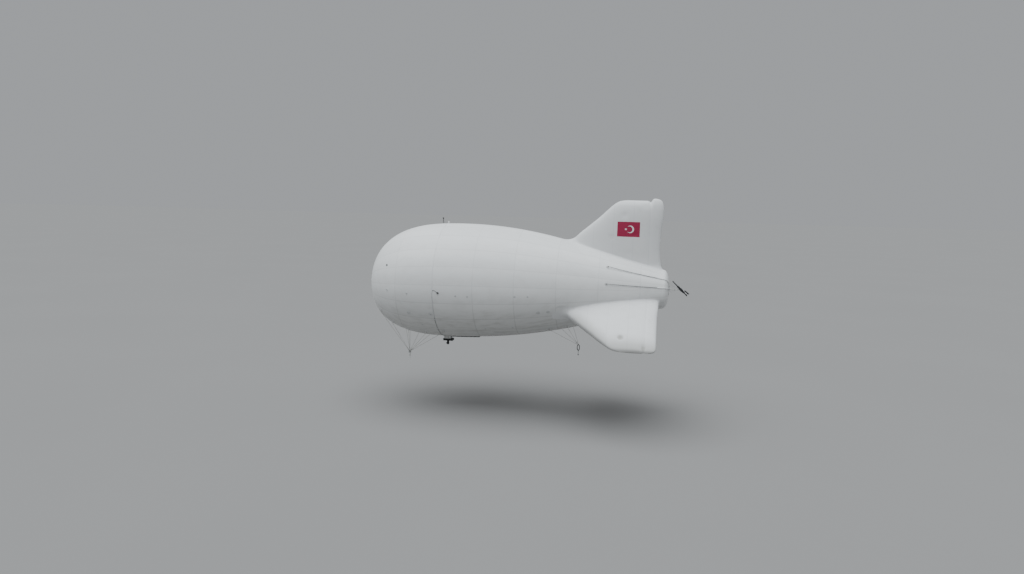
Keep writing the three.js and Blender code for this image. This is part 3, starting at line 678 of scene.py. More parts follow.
def copy_of(master, name, place):
    """A copy with a mesh of its own, put in place."""
    piece = master.copy()
    piece.data = master.data.copy()
    piece.data.transform(place)
    piece.name = name
    bpy.context.scene.collection.objects.link(piece)
    return piece


def unite(name, pieces):
    """Joins pieces, each with its own finish, into one."""
    bpy.ops.object.select_all(action="DESELECT")
    for piece in pieces:
        piece.select_set(True)
    bpy.context.view_layer.objects.active = pieces[0]
    bpy.ops.object.join()
    pieces[0].name = name
    pieces[0].data.name = name
    return pieces[0]


def make_ring(name, major, minor, place, around=28, sides=10):
    """A round steel ring that stands in the XZ plane before it is put in place."""
    ring = begin(bpy.ops.mesh.primitive_circle_add, name, vertices=sides, radius=minor, fill_type="NOTHING")
    ring.data.transform(moved(major, 0, 0))
    bpy.ops.object.mode_set(mode="EDIT")
    bpy.ops.mesh.select_all(action="SELECT")
    bpy.ops.transform.rotate(value=math.pi / 2, orient_axis="X", center_override=(major, 0, 0))
    bpy.ops.mesh.spin(steps=around, angle=2 * math.pi, center=(0, 0, 0), axis=(0, 0, 1))
    heal(0.00002)
    bpy.ops.object.shade_smooth()
    ring.data.transform(place @ turned(90, "X"))
    return painted(ring, steel)


def turning(name, profile, steps, smooth, material, place=Matrix()):
    """A piece turned from a profile in millimetres, with its finish, put in place."""
    piece = painted(lathe(name, [(r / 1000, h / 1000) for r, h in profile], steps, smooth), material)
    piece.data.transform(place)
    return piece


def select_edges(piece, test):
    """Selects, in edit mode, the edges whose two ends pass the test."""
    bpy.ops.object.mode_set(mode="EDIT")
    bpy.ops.mesh.select_mode(type="EDGE")
    bpy.ops.mesh.select_all(action="DESELECT")
    mesh = bmesh.from_edit_mesh(piece.data)
    for edge in mesh.edges:
        edge.select_set(test(edge.verts[0].co, edge.verts[1].co))
    mesh.select_flush_mode()
    bmesh.update_edit_mesh(piece.data)


def make_patch(name, size):
    """A doubler of two layers with its strap and ring, lying on the XY plane."""
    wide = size * 1000
    layers = ((0, 10.5), (wide * 0.66, 10.5), (wide * 0.70, 6.5), (wide * 0.985, 6.5), (wide, 4), (wide, -15))
    disc = turning(name, layers, 40, 30.0, patch_laminate)
    reach = size * 0.8
    strap = begin(bpy.ops.mesh.primitive_plane_add, name + "_strap", size=0.044, location=(-reach, 0, 0.008))
    bpy.ops.object.transform_apply(location=True)
    select_edges(strap, lambda a, b: min(a.x, b.x) > -reach)
    here = Vector((-reach + 0.022, 0, 0.008))
    for x, z in ((-0.022, 0.013), (-0.010, 0.030), (-0.005, 0.046), (0, 0.050), (0.005, 0.046),
                 (0.010, 0.030), (0.022, 0.013), (reach, 0.009)):
        there = Vector((x, 0, z))
        bpy.ops.mesh.extrude_region_move(TRANSFORM_OT_translate={"value": there - here})
        here = there
    bpy.ops.object.mode_set(mode="OBJECT")
    give_wall(strap, 0.0028, 1.0)
    ring = make_ring(name + "_ring", 0.024, 0.0045, moved(0, 0, LIFT) @ turned(90, "Z"))
    return unite(name, [disc, painted(strap, webbing), ring])


def assemble(name, pieces, slot, *nodes, body="aerostat", place=Matrix()):
    """Joins pieces into one, puts it in place and attaches it."""
    piece = unite(name, pieces)
    piece.data.transform(place)
    attach(piece, slot, *nodes, body=body)


def aim(place, target):
    """Turns a frame on the hull about its outward axis, so that its X axis points at the target."""
    away = place.inverted() @ target
    return place @ Matrix.Rotation(math.atan2(away.y, away.x), 4, "Z")


patch_master = make_patch("load_patch", PATCH_RADIUS)
cord_patch_master = make_patch("cord_patch", 0.090)
hooks = {}
for side, mirror, y in SIDES:
    for kind, (join, *rows) in PATCHES.items():
        for i, (station, angle) in enumerate(rows):
            name = f"{kind}_patch_{side}_{i + 1}"
            place = aim(hull_point(station, mirror(angle)), Vector((join[0], y * join[1], join[2])))
            attach(copy_of(patch_master, name + "_fitting", place), "patch_fabric", name)
            hooks[kind, side, i] = place @ Vector((0, 0, HOOK))
    for which, station, angle, _ in CORD_STARTS:
        name = f"tail_patch_{side}_{which}"
        place = hull_point(station, mirror(angle))
        attach(copy_of(cord_patch_master, name + "_fitting", place), "patch_fabric", name)

# Handling patches
# Doublers in rows along each side hold the mooring lines on the ground. No line hangs from them in flight.
# The middle row takes the most load and has the largest ones.
HANDLING = (
    # station, angle up from the side, radius
    (3.54, -9.2, 0.07), (6.87, -10.0, 0.07), (7.66, -10.4, 0.07), (10.70, -9.8, 0.075), (11.53, -9.8, 0.065),
    (3.53, -31.0, 0.14), (5.08, -30.3, 0.14), (12.16, -29.8, 0.14), (12.79, -29.4, 0.12),
    (4.32, -46.0, 0.08), (8.60, -50.0, 0.09), (10.40, -50.0, 0.09),
)
for side, mirror, _ in SIDES:
    for i, (station, angle, size) in enumerate(HANDLING):
        wide = size / PATCH_RADIUS
        place = hull_point(station, mirror(angle)) @ Matrix.Diagonal((wide, wide, 1.0, 1.0))
        attach(copy_of(patch_master, f"handling_patch_{side}_{i + 1}", place), "patch_fabric")
for master in (patch_master, cord_patch_master):
    bpy.data.objects.remove(master)

# Pressure ports
# Two round ports on each side of the nose stand in white rings. The upper one has a dark gauze, and the
# lower one is blanked with laminate.
PORTS = ((1.92, 21.6), (2.03, -7.3))


def gauze_pattern(start):
    point, x, _, z = coordinates(start)
    wires = start.math("SINE", x * 1400.0) * start.math("SINE", z * 1400.0) * 0.5 + 0.5
    return {
        "Base Color": blend(start, wires, (0.07, 0.07, 0.07, 1), (0.16, 0.16, 0.155, 1)),
        "Roughness": 0.45 + 0.2 * noise(start, point, 60.0),
        "Normal": bump(start, wires * 0.0005, 0.6),
    }


port_gauze = make_material("port_gauze", {}, gauze_pattern)


def second_finish(piece, material, test):
    """Gives another finish to faces that pass a test on their distance from the Z axis and their height."""
    piece.data.materials.append(material)
    for face in piece.data.polygons:
        if test(math.hypot(face.center.x, face.center.y), face.center.z):
            face.material_index = len(piece.data.materials) - 1


port_profile = ((0, 6), (58, 6), (60, 16), (70, 18), (78, 12), (84, -4))
for side, mirror, _ in SIDES:
    for i, (station, angle) in enumerate(PORTS):
        middle = patch_laminate if i else port_gauze
        port = turning(f"pressure_port_{side}_{i + 1}", port_profile, 32, 35.0, middle)
        second_finish(port, patch_laminate, lambda off, z: off > 0.066)
        port.data.transform(hull_point(station, mirror(angle)))
        attach(port, "hull_fabric")

# Nose plate
# A light alloy disc under a laminate cover is bolted through the nose. Its eye takes the mooring line when
# the aerostat is on its mast.
nose_profile = ((0, 30), (30, 30), (42, 20), (60, 10), (70, 2), (215, 2), (225, 6), (262, 6), (272, 1),
                (294, 0), (300, -4), (300, -13))


def select_faces(piece, test):
    """Selects, in edit mode, the faces whose normal passes the test."""
    bpy.ops.object.mode_set(mode="EDIT")
    bpy.ops.mesh.select_mode(type="FACE")
    bpy.ops.mesh.select_all(action="DESELECT")
    mesh = bmesh.from_edit_mesh(piece.data)
    for face in mesh.faces:
        face.select_set(test(face.normal))
    bmesh.update_edit_mesh(piece.data)


def make_bolt(name, across, head):
    """A bolt head with its washer, standing on the XY plane."""
    bolt = begin(bpy.ops.mesh.primitive_cylinder_add, name, vertices=6, radius=across, depth=head,
                 location=(0, 0, head / 2))
    bpy.ops.object.transform_apply(location=True)
    select_faces(bolt, lambda normal: normal.z > 0.9)
    bpy.ops.mesh.inset(thickness=across * 0.18, depth=0.0)
    bpy.ops.transform.translate(value=(0, 0, across * 0.12))
    bpy.ops.object.mode_set(mode="OBJECT")
    wide, thick = across * 1000, head * 250
    washer = ((0, thick), (wide * 1.3, thick), (wide * 1.4, thick * 0.6), (wide * 1.4, -2))
    return unite(name, [painted(bolt, steel), turning(name + "_washer", washer, 16, 35.0, steel)])


def bolt_circle(name, count, axis, stand, start=0.0):
    """Copies of the bolt in a circle round an axis."""
    turns = [Matrix.Rotation(2 * math.pi * (i + start) / count, 4, axis) for i in range(count)]
    return [copy_of(bolt_master, name, turn @ stand) for turn in turns]


bolt_master = make_bolt("bolt", 0.011, 0.008)
nose_parts = [turning("nose_disc", nose_profile, 64, 30.0, patch_laminate, turned(-90, "Y"))]
nose_parts += bolt_circle("nose_bolt", 16, "X", moved(-0.006, 0.0, 0.243) @ turned(-90, "Y"))
nose_parts.append(make_ring("nose_eye", 0.028, 0.007, moved(-0.050, 0, 0)))
place = moved(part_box("nose_plate")[0].x, 0, axis_height(0.0))
assemble("nose_fitting", nose_parts, "hull_fabric", "nose_plate", place=place)

# Front bridle
# Five braided lines on each side run from the load patches to a steel ring beside the confluence plate. Each
# end is an eye splice: a loop, a thick tapered splice and a dark whipping.
RING_HEIGHT = -5.338
LINE = 0.008


def braid_look(name, low, high, roughness):
    """Braided fibre: two sets of strands that cross each other, from the line's own UVs."""
    def pattern(start):
        point = start.node("TexCoord", {}, {}, "Object")
        uv = start.node("UVMap", {"uv_map": "run"}, {})
        around, along = [start.node("SeparateXYZ", {}, {0: uv}, axis) for axis in "XY"]
        one = start.math("SINE", around * (8 * math.pi) + along * 420.0)
        other = start.math("SINE", around * (8 * math.pi) - along * 420.0)
        strand = start.math("MAXIMUM", one, other) * 0.5 + 0.5
        fibre = noise(start, point, 500.0, 2.0)
        base = blend(start, noise(start, point, 6.0, 4.0), low, high)
        return {
            # Painted shade: the colour darkens in the grooves between the raised strands.
            "Base Color": blend(start, (1 - strand) * 0.6, base, tuple(0.45 * c for c in low[:3]) + (1,)),
            "Roughness": roughness + 0.15 * fibre,
            "Normal": bump(start, strand * 0.0012 + fibre * 0.0002, 0.8),
        }

    return make_material(name, {"Sheen Weight": 0.25, "Specular IOR Level": 0.3}, pattern)


pale_braid = braid_look("pale_braid", (0.42, 0.42, 0.38, 1), (0.56, 0.56, 0.52, 1), 0.7)
dark_braid = braid_look("dark_braid", (0.022, 0.023, 0.026, 1), (0.05, 0.05, 0.053, 1), 0.65)


def line(name, points, radius, material, sides=10, closed=False):
    """A round line through the points. Its UVs turn once round it and run along it in metres."""
    radii = radius if isinstance(radius, (list, tuple)) else [radius] * len(points)
    mesh = bmesh.new()
    uv = mesh.loops.layers.uv.new("run")
    side = Vector((0.31, 0.59, 0.74))
    rings = []
    runs = [0.0]
    count = len(points)
    for i, point in enumerate(points):
        before = points[i - 1] if i > 0 or closed else point
        after = points[(i + 1) % count] if i < count - 1 or closed else point
        ahead = (after - before).normalized()
        side = (side - ahead * side.dot(ahead)).normalized()
        up = ahead.cross(side)
        turns = [2 * math.pi * j / sides for j in range(sides)]
        rim = [point + (side * math.cos(turn) + up * math.sin(turn)) * radii[i] for turn in turns]
        rings.append([mesh.verts.new(place) for place in rim])
        if i:
            runs.append(runs[-1] + (point - points[i - 1]).length)
    if closed:
        rings.append(rings[0])
        runs.append(runs[-1] + (points[0] - points[-1]).length)
    for i in range(len(rings) - 1):
        for j in range(sides):
            k = (j + 1) % sides
            face = mesh.faces.new((rings[i][j], rings[i][k], rings[i + 1][k], rings[i + 1][j]))
            face.smooth = True
            places = ((j, i), (j + 1, i), (j + 1, i + 1), (j, i + 1))
            for loop, (turn, row) in zip(face.loops, places):
                loop[uv].uv = (turn / sides, runs[row])
    if not closed:
        mesh.faces.new(list(reversed(rings[0])))
        mesh.faces.new(rings[-1])
    data = bpy.data.meshes.new(name)
    mesh.to_mesh(data)
    mesh.free()
    data.materials.append(material)
    piece = bpy.data.objects.new(name, data)
    bpy.context.scene.collection.objects.link(piece)
    return piece


def eye(name, hook, towards, spread, size, radius, material):
    """The loop at a line's end: it goes round the hook and comes together towards the line."""
    centre = hook + towards * (size - radius)
    across = (spread - towards * spread.dot(towards)).normalized()
    points = [hook + towards * size * 3.2 + across * radius * 0.8]
    for i in range(13):
        turn = math.radians(115 - 230 * i / 12)
        points.append(centre - towards * math.cos(turn) * size + across * math.sin(turn) * size)
    points.append(hook + towards * size * 3.2 - across * radius * 0.8)
    return line(name, points, radius, material, 8)


def bridle_line(name, kind, side, i, end):
    """A taut line with an eye splice at both ends, from a load patch's ring."""
    station, angle = PATCHES[kind][i + 1]
    mirror = {row[0]: row[1] for row in SIDES}[side]
    start = hooks[kind, side, i]
    towards = (end - start).normalized()
    reach = (end - start).length
    stops = (0.060, 0.075, 0.230, 0.290)
    places = list(stops) + [reach * (0.1 * j) for j in range(1, 10)] + [reach - s for s in reversed(stops)]
    radii = [LINE * share for share in (1.1, 1.5, 1.35) + (1,) * 11 + (1.35, 1.5, 1.1)]
    spread = hull_point(station, mirror(angle)).col[2].to_3d()
    parts = [line(name, [start + towards * p for p in places], radii, pale_braid)]
    parts.append(eye(name, start, towards, spread, 0.022, LINE * 0.85, pale_braid))
    parts.append(eye(name, end, -towards, Vector((0, 1, 0)), 0.022, LINE * 0.85, pale_braid))
    for place in (0.215, reach - 0.245):
        band = [start + towards * (place + 0.03 * j) for j in (0, 1)]
        parts.append(line(name, band, LINE * 1.48, dark_braid, 12))
    return unite(name, parts)


for side, _, y in SIDES:
    middle = Vector((JOIN_X, y * 0.060, RING_HEIGHT))
    parts = []
    for i in range(len(PATCHES["front"]) - 1):
        away = hooks["front", side, i] - middle
        end = middle + Vector((away.x, 0, away.z)).normalized() * 0.040
        parts.append(bridle_line("bridle_line", "front", side, i, end))
    parts.append(make_ring("collector_ring", 0.040, 0.0095, Matrix.Translation(middle), 40, 12))
    assemble(f"front_bridle_{side}_lines", parts, "pale_line", f"front_bridle_{side}")

# Confluence plate
# A bevelled plate in worn white paint gathers both rings on one steel pin. Bosses stiffen it round the pins.
white_paint = coat(
    "white_paint", {}, ((0.68, 0.69, 0.68, 1),),
    [((16.0, 4.0), (0.5, 0.8), 0.4, (0.42, 0.41, 0.38, 1)),
     ((55.0, 5.0), (0.62, 0.68), 0.8, (0.20, 0.20, 0.19, 1))],
    (0.4, 0.2, 30.0), (200.0, 0.0002, 0.5), pits=True)


def block(name, middle, size):
    """A cube of this size with its place in its mesh."""
    piece = begin(bpy.ops.mesh.primitive_cube_add, name, size=1, location=middle, scale=size)
    bpy.ops.object.transform_apply(location=True, rotation=True, scale=True)
    return piece


def round_edges(piece, test, offset, segments):
    """Rounds the edges whose two ends pass the test."""
    select_edges(piece, test)
    bpy.ops.mesh.bevel(offset=offset, segments=segments, profile=0.5)
    bpy.ops.object.mode_set(mode="OBJECT")


def rim_bevel(piece, width, segments=3, angle=30.0):
    """A bevel modifier over every sharp edge, applied."""
    bpy.ops.object.select_all(action="DESELECT")
    piece.select_set(True)
    bpy.context.view_layer.objects.active = piece
    rim = piece.modifiers.new("rim", "BEVEL")
    rim.width = width
    rim.segments = segments
    rim.limit_method = "ANGLE"
    rim.angle_limit = math.radians(angle)
    bpy.ops.object.modifier_apply(modifier="rim")
    bpy.ops.object.shade_smooth_by_angle(angle=math.radians(35))
    return piece


low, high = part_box("confluence_plate")
middle = (low + high) / 2
plate = block("confluence", middle, high - low)
round_edges(plate, lambda a, b: abs(a.y - b.y) > 0.01 and a.z < middle.z, 0.075, 8)
round_edges(plate, lambda a, b: abs(a.y - b.y) > 0.01 and a.z > high.z - 0.001, 0.030, 5)
parts = [painted(rim_bevel(plate, 0.003), white_paint)]
boss = ((0, 6), (30, 6), (34, 3), (34, -4))
pin = ((0, 98), (12, 98), (14.5, 94), (14.5, -98), (12, -102), (0, -102))
for drop in (0.0705, 0.185):
    for flip in (0, 180):
        place = moved(middle.x, 0, high.z - drop) @ turned(flip, "Z") @ turned(90, "X") @ moved(0, 0, 0.015)
        parts.append(turning("plate_boss", boss, 32, 40.0, white_paint, place))
pin_place = moved(middle.x, 0, RING_HEIGHT - 0.0155)
parts.append(turning("cross_pin", pin, 24, 40.0, steel, pin_place @ turned(90, "X")))
for flip in (0, 180):
    stand = turned(flip, "Z") @ turned(90, "X") @ moved(0, 0, 0.082) @ Matrix.Diagonal((2.0, 2.0, 1.8, 1.0))
    parts.append(copy_of(bolt_master, "pin_nut", pin_place @ stand))
assemble("confluence_assembly", parts, "white_paint", "confluence_plate")

# Tether swivel and socket
# The upper half is bolted under the plate by a clevis. The lower half turns on a spindle and carries the
# poured socket that grips the tether.
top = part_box("tether_swivel_upper")[1].z
upper_profile = ((0, 0), (34, 0), (46, -6), (48, -12), (48, -32), (44, -35), (44, -43), (48, -46), (48, -96),
                 (43, -110), (18, -110), (18, -88), (0, -88))
parts = [turning("swivel_top", upper_profile, 48, 32.0, white_paint, moved(0, 0, top))]
for flip in (0, 180):
    cheek = block("clevis_cheek", (0, 0.0215, top + 0.016), (0.060, 0.012, 0.072))
    round_edges(cheek, lambda a, b: abs(a.y - b.y) > 0.005 and a.z > top, 0.028, 8)
    painted(rim_bevel(cheek, 0.0015, 2), white_paint)
    cheek.data.transform(turned(flip, "Z"))
    parts.append(cheek)
    stand = turned(flip, "Z") @ moved(0, 0.0275, top + 0.024) @ turned(-90, "X")
    parts.append(copy_of(bolt_master, "clevis_bolt", stand @ Matrix.Diagonal((1.3, 1.3, 1.2, 1.0))))
assemble("swivel_upper_assembly", parts, "white_paint", "tether_swivel_upper", place=moved(JOIN_X, 0, 0))

lower_profile = ((0, 16), (15.5, 16), (15.5, 0), (43, 0), (48, -12), (48, -36), (44.5, -39), (44.5, -47),
                 (48, -50), (48, -80), (40, -90), (0, -90))
lower_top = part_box("tether_swivel_upper")[0].z - 0.005
swivel = turning("swivel_lower_body", lower_profile, 48, 32.0, white_paint, moved(JOIN_X, 0, lower_top))
attach(swivel, "white_paint", "tether_swivel_lower", body="tether_swivel")
socket_profile = ((0, 0), (24, 0), (26, -3), (27.5, -22), (32, -26), (33, -38), (29, -42), (34.5, -100),
                  (38, -104), (40, -130), (42, -134), (42, -147), (40, -150), (20, -150), (18, -144),
                  (0, -144))
socket_top = moved(JOIN_X, 0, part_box("tether_socket")[1].z)
socket = turning("socket_body", socket_profile, 48, 32.0, white_paint, socket_top)
attach(socket, "white_paint", "tether_socket", body="tether_swivel")

# Rear handling bridle
# Two lines on each side meet on a soft ring of dark rope under the tail, with a short pendant and a knot
# for the ground crew to take hold of.
RING_HALF = Vector((0.080, 0, 0.190))
RING_MIDDLE = Vector((REAR_X, 0, -4.31))


def circle(count, point, lap=None):
    """Points at even steps round a circle, from a formula on the turn. A lap has this many steps."""
    return [Vector(point(2 * math.pi * i / (lap or count))) for i in range(count)]


def on_ring(turn):
    return RING_MIDDLE + Vector((RING_HALF.x * math.sin(turn), 0, RING_HALF.z * math.cos(turn)))


def knot_point(turn):
    reach = 0.021 + 0.011 * math.cos(3 * turn)
    return (REAR_X + reach * math.cos(2 * turn), reach * math.sin(2 * turn),
            low.z + 0.046 + 0.020 * math.sin(3 * turn))


for side, _, y in SIDES:
    knot = Vector((REAR_X, y * REAR_JOIN[1], REAR_JOIN[2]))
    parts = [bridle_line("rear_line", "rear", side, i, knot) for i in (0, 1)]
    coil = circle(49, lambda t: knot + Vector((
        0.016 * (t / (4 * math.pi) - 1), 0.022 * math.cos(t), 0.022 * math.sin(t))), 12)
    parts.append(line("rear_knot", coil, LINE, pale_braid, 8))
    assemble(f"rear_bridle_{side}_lines", parts, "pale_line", f"rear_bridle_{side}")
parts = [line("soft_ring", circle(48, on_ring), 0.024, dark_braid, 14, closed=True)]
for turn in (0.0, 0.9, 2.2, math.pi, 4.1, 5.4):
    for i in range(4):
        share = turn + (i - 1.5) * 0.075
        ahead = Vector((RING_HALF.x * math.cos(share), 0, -RING_HALF.z * math.sin(share))).normalized()
        away = Vector((ahead.z, 0, -ahead.x))
        wrap = circle(16, lambda t: (
            on_ring(share) + (away * math.cos(t) + Vector((0, 1, 0)) * math.sin(t)) * 0.026))
        parts.append(line("ring_whipping", wrap, 0.0035, dark_braid, 6, closed=True))
assemble("rear_ring_rope", parts, "dark_line", "rear_ring")
low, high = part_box("rear_pendant")
parts = [line("pendant", [Vector((REAR_X, 0, z)) for z in (high.z, -4.64, -4.80)], 0.012, dark_braid, 12)]
coil = [point + Vector((0, 0, -0.0006 * i)) for i, point in enumerate(circle(
    37, lambda t: (REAR_X + 0.019 * math.cos(t), 0.019 * math.sin(t), high.z - 0.004), 12))]
parts.append(line("pendant_turns", coil, 0.008, dark_braid, 8))
parts.append(line("pendant_knot", circle(60, knot_point), 0.0125, dark_braid, 10, closed=True))
assemble("rear_pendant_rope", parts, "dark_line", "rear_pendant")

# Tail cords
# Two dark cords on each side pull the tail plate forward. They run along the hull and, under sleeves of
# white laminate, over the edge of the tail cap and down to clamps on the plate.
TAIL_HEIGHT = axis_height(HULL_LENGTH)
PLATE_BACK = HULL_LENGTH + NOSE + 0.0145
CORD = 0.014


def cap_point(turn, angle, proud):
    """A point over the tail cap: turn goes from 0 at its front edge to 90 degrees at the hull's end."""
    t = math.radians(turn)
    rise = math.radians(angle)
    station = HULL_LENGTH - TAIL_CAP * (1 - math.sin(t))
    fall = CAP_POWER * TAIL_RADIUS * math.cos(t) ** (CAP_POWER - 1) * math.sin(t)
    slope = Vector((TAIL_CAP * math.cos(t), fall))
    reach = TAIL_RADIUS * math.cos(t) ** CAP_POWER + slope.x / slope.length * proud
    aft = station + NOSE + slope.y / slope.length * proud
    return Vector((aft, -math.cos(rise) * reach, axis_height(station) + math.sin(rise) * reach))


def standing(foot, run):
    """The place of a turned piece that stands on its foot and points along the run."""
    return Matrix.Translation(foot) @ Vector((0, 0, 1)).rotation_difference(run).to_matrix().to_4x4()


ferrule = ((0, 0), (17, 0), (19, 3), (19, 12), (17.5, 14), (17.5, 26), (19, 28), (19, 37), (17, 40), (0, 40))
for side, mirror, _ in SIDES:
    for which, station, angle, end_angle in CORD_STARTS:
        patch = hull_point(station, mirror(angle))
        points = [patch @ Vector((0, 0, LIFT + 0.020))]
        for share in (0.25, 0.5, 0.75, 0.9):
            s = station + (20.0 - station) * share
            a = angle + (end_angle - angle) * share
            points.append(hull_point(s, mirror(a), 0.052 - 0.030 * share).to_translation())
        points += [cap_point(t, mirror(end_angle), 0.020) for t in (5, 16, 28, 40, 52, 62, 70, 76, 81)]
        rise = math.radians(mirror(end_angle))
        end = Vector((PLATE_BACK + 0.026, -math.cos(rise) * 0.36, TAIL_HEIGHT + math.sin(rise) * 0.36))
        points.append(end)
        parts = [line("tail_cord", points, CORD, dark_braid, 10)]
        towards = (points[1] - points[0]).normalized()
        parts.append(eye("cord_eye", points[0], towards, patch.col[2].to_3d(), 0.026, 0.010, dark_braid))
        run = (end - points[-2]).normalized()
        clamp = end - run * 0.07
        parts.append(turning("cord_clamp", ferrule, 20, 30.0, steel, standing(clamp, run)))
        cover = [points[-11] + (points[-12] - points[-11]) * 0.03] + points[-11:-1] + [clamp]
        parts.append(line("cord_sleeve", cover, [0.018] + [0.024] * 10 + [0.020], fin_laminate, 14))
        name = f"tail_cord_{side}_{which}"
        assemble(name + "_rope", parts, "dark_line", name)

# Tail plate
# A turned alloy plate closes the tail and carries the antenna boom in its hub. Twelve bolts hold it on the
# laminate, and six hold the hub.
tail_profile = ((0, 73), (48, 73), (56, 69), (60, 60), (70, 30), (85, 18), (110, 14), (280, 14), (288, 10),
                (312, 10), (320, 14), (424, 14), (430, 10), (430, -4))
disc = turning("tail_disc", tail_profile, 72, 30.0, patch_laminate)
second_finish(disc, steel, lambda off, z: off < 0.285)
disc.data.transform(turned(90, "Y"))
parts = [disc] + bolt_circle("tail_bolt", 12, "X", moved(0.014, 0.0, 0.395) @ turned(90, "Y"), 0.5)
parts += bolt_circle("hub_bolt", 6, "X", moved(0.014, 0.0, 0.140) @ turned(90, "Y"))
place = moved(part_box("tail_plate")[0].x, 0, TAIL_HEIGHT)
assemble("tail_fitting", parts, "patch_fabric", "tail_plate", place=place)

# Tail boom and antenna
# A thin painted tube with clamps carries a slanted antenna bar in a black housing, with a second short bar
# on two stand-offs above its lower end. Three wires stay the boom from the tail plate.
BAR_CENTRE = Vector((21.21 + NOSE, 0, -0.03))
BAR_TILT = math.radians(44)
PRONG_TILT = math.radians(38)
BAR_RUN = Vector((math.cos(BAR_TILT), 0, -math.sin(BAR_TILT)))
BAR_SIDE = Vector((math.sin(BAR_TILT), 0, math.cos(BAR_TILT)))
BOOM_FOOT = Vector((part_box("tail_boom")[0].x + 0.022, 0, TAIL_HEIGHT))

pale_paint = coat(
    "pale_paint", {}, ((0.44, 0.44, 0.42, 1), (0.54, 0.54, 0.52, 1), 5.0),
    [((22.0, 5.0), (0.62, 0.72), 0.6, (0.20, 0.20, 0.19, 1))], (0.45, 0.2, 12.0), (90.0, 0.0003, 0.4))
boom_run = (BAR_CENTRE - BOOM_FOOT).normalized()
boom_reach = (BAR_CENTRE - BOOM_FOOT).length
tube_end = boom_reach * 1000 - 81
tube = ((0, 0), (20, 0), (20, tube_end), (0, tube_end))
parts = [turning("boom", tube, 24, 40.0, pale_paint, standing(BOOM_FOOT - boom_run * 0.01, boom_run))]
clamp = ((0, 0), (24, 0), (27, 3), (27, 42), (24, 45), (0, 45))
for share in (0.03, 0.42, 0.80):
    place = standing(BOOM_FOOT + boom_run * boom_reach * share, boom_run)
    parts.append(turning("boom_clamp", clamp, 24, 30.0, steel, place))
for turn in (90, 210, 330):
    rim = turned(turn, "X") @ Vector((PLATE_BACK, 0.40, 0)) + Vector((0, 0, TAIL_HEIGHT))
    parts.append(line("boom_stay", [rim, BOOM_FOOT + boom_run * boom_reach * 0.82], 0.004, steel, 6))
assemble("boom_assembly", parts, "boom_paint", "tail_boom")

DUST = ((7.0, 4.0), (0.45, 0.8), 0.5, (0.045, 0.044, 0.042, 1))
black_metal = coat(
    "black_metal", {"Specular IOR Level": 0.45}, ((0.013, 0.014, 0.016, 1),),
    [DUST, ((26.0, 5.0, 0.7), (0.60, 0.74), 0.35, (0.11, 0.11, 0.11, 1))], (0.38, 0.2, 30.0),
    (350.0, 2.0, 0.0002, 0.5), dusty=0.15)


def bar(name, rows, middle, run, steps=20):
    """A turned black bar along a run, from its radii and their distances from the middle."""
    profile = ((0, rows[0][1]), *rows, (0, rows[-1][1]))
    return turning(name, profile, steps, 32.0, black_metal, standing(middle, run))


parts = [bar("antenna_bar", (
    (20, -800), (26, -794), (30, -510), (36, -505), (36, 370), (30, 375), (26, 559), (20, 565)),
    BAR_CENTRE, BAR_RUN)]
parts.append(bar("antenna_housing", (
    (44, -345), (56, -335), (58, -300), (66, -290), (66, -110), (86, -100), (86, 100), (66, 110), (66, 230),
    (58, 240), (56, 265), (44, 275)), BAR_CENTRE, BAR_RUN, 28))
collar = ((34, -18), (42, -14), (42, 14), (34, 18))
for place in (-0.73, -0.60, 0.45, 0.52):
    parts.append(bar("bar_collar", collar, BAR_CENTRE + BAR_RUN * place, BAR_RUN, 24))
prong_run = Vector((math.cos(PRONG_TILT), 0, -math.sin(PRONG_TILT)))
prong_middle = BAR_CENTRE + BAR_RUN * 0.375 + BAR_SIDE * 0.147
parts.append(bar("short_bar", (
    (26, -190), (34, -182), (40, -120), (40, 120), (34, 182), (26, 190)), prong_middle, prong_run))
for place in (-0.10, 0.10):
    foot = BAR_CENTRE + BAR_RUN * (0.375 + place)
    post = prong_middle + prong_run * place - foot
    parts.append(bar("stand_off", ((12, 0), (12, post.length * 1000)), foot, post.normalized(), 16))
assemble("antenna_assembly", parts, "black_equipment", "tail_antenna")

# Payload pad
# A firm foam pad in white coated fabric beds the payload on the belly. Piping runs round its two edges, and
# webbing straps hold it.
low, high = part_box("payload_pad")
middle = (low + high) / 2
half = (high - low) / 2


def pad_pattern(start):
    point, x, y, z = coordinates(start)
    weave = start.math("SINE", x * 2400.0) * start.math("SINE", y * 2400.0 + z * 2400.0)
    crease = noise(start, point, 14.0, 4.0)
    darkening = step(start, noise(start, point, 6.0, 5.0, 0.6), 0.45, 0.75)
    # Painted shade: the cloth is darker in the hollows of the creases that the same noise raises.
    base = blend(start, crease, (0.56, 0.57, 0.57, 1), (0.66, 0.67, 0.67, 1))
    return {
        "Base Color": blend(start, darkening * 0.35, base, (0.34, 0.33, 0.31, 1)),
        "Roughness": 0.55 + 0.2 * crease,
        "Normal": bump(start, weave * 0.0001 + crease * 0.004, 0.6),
    }


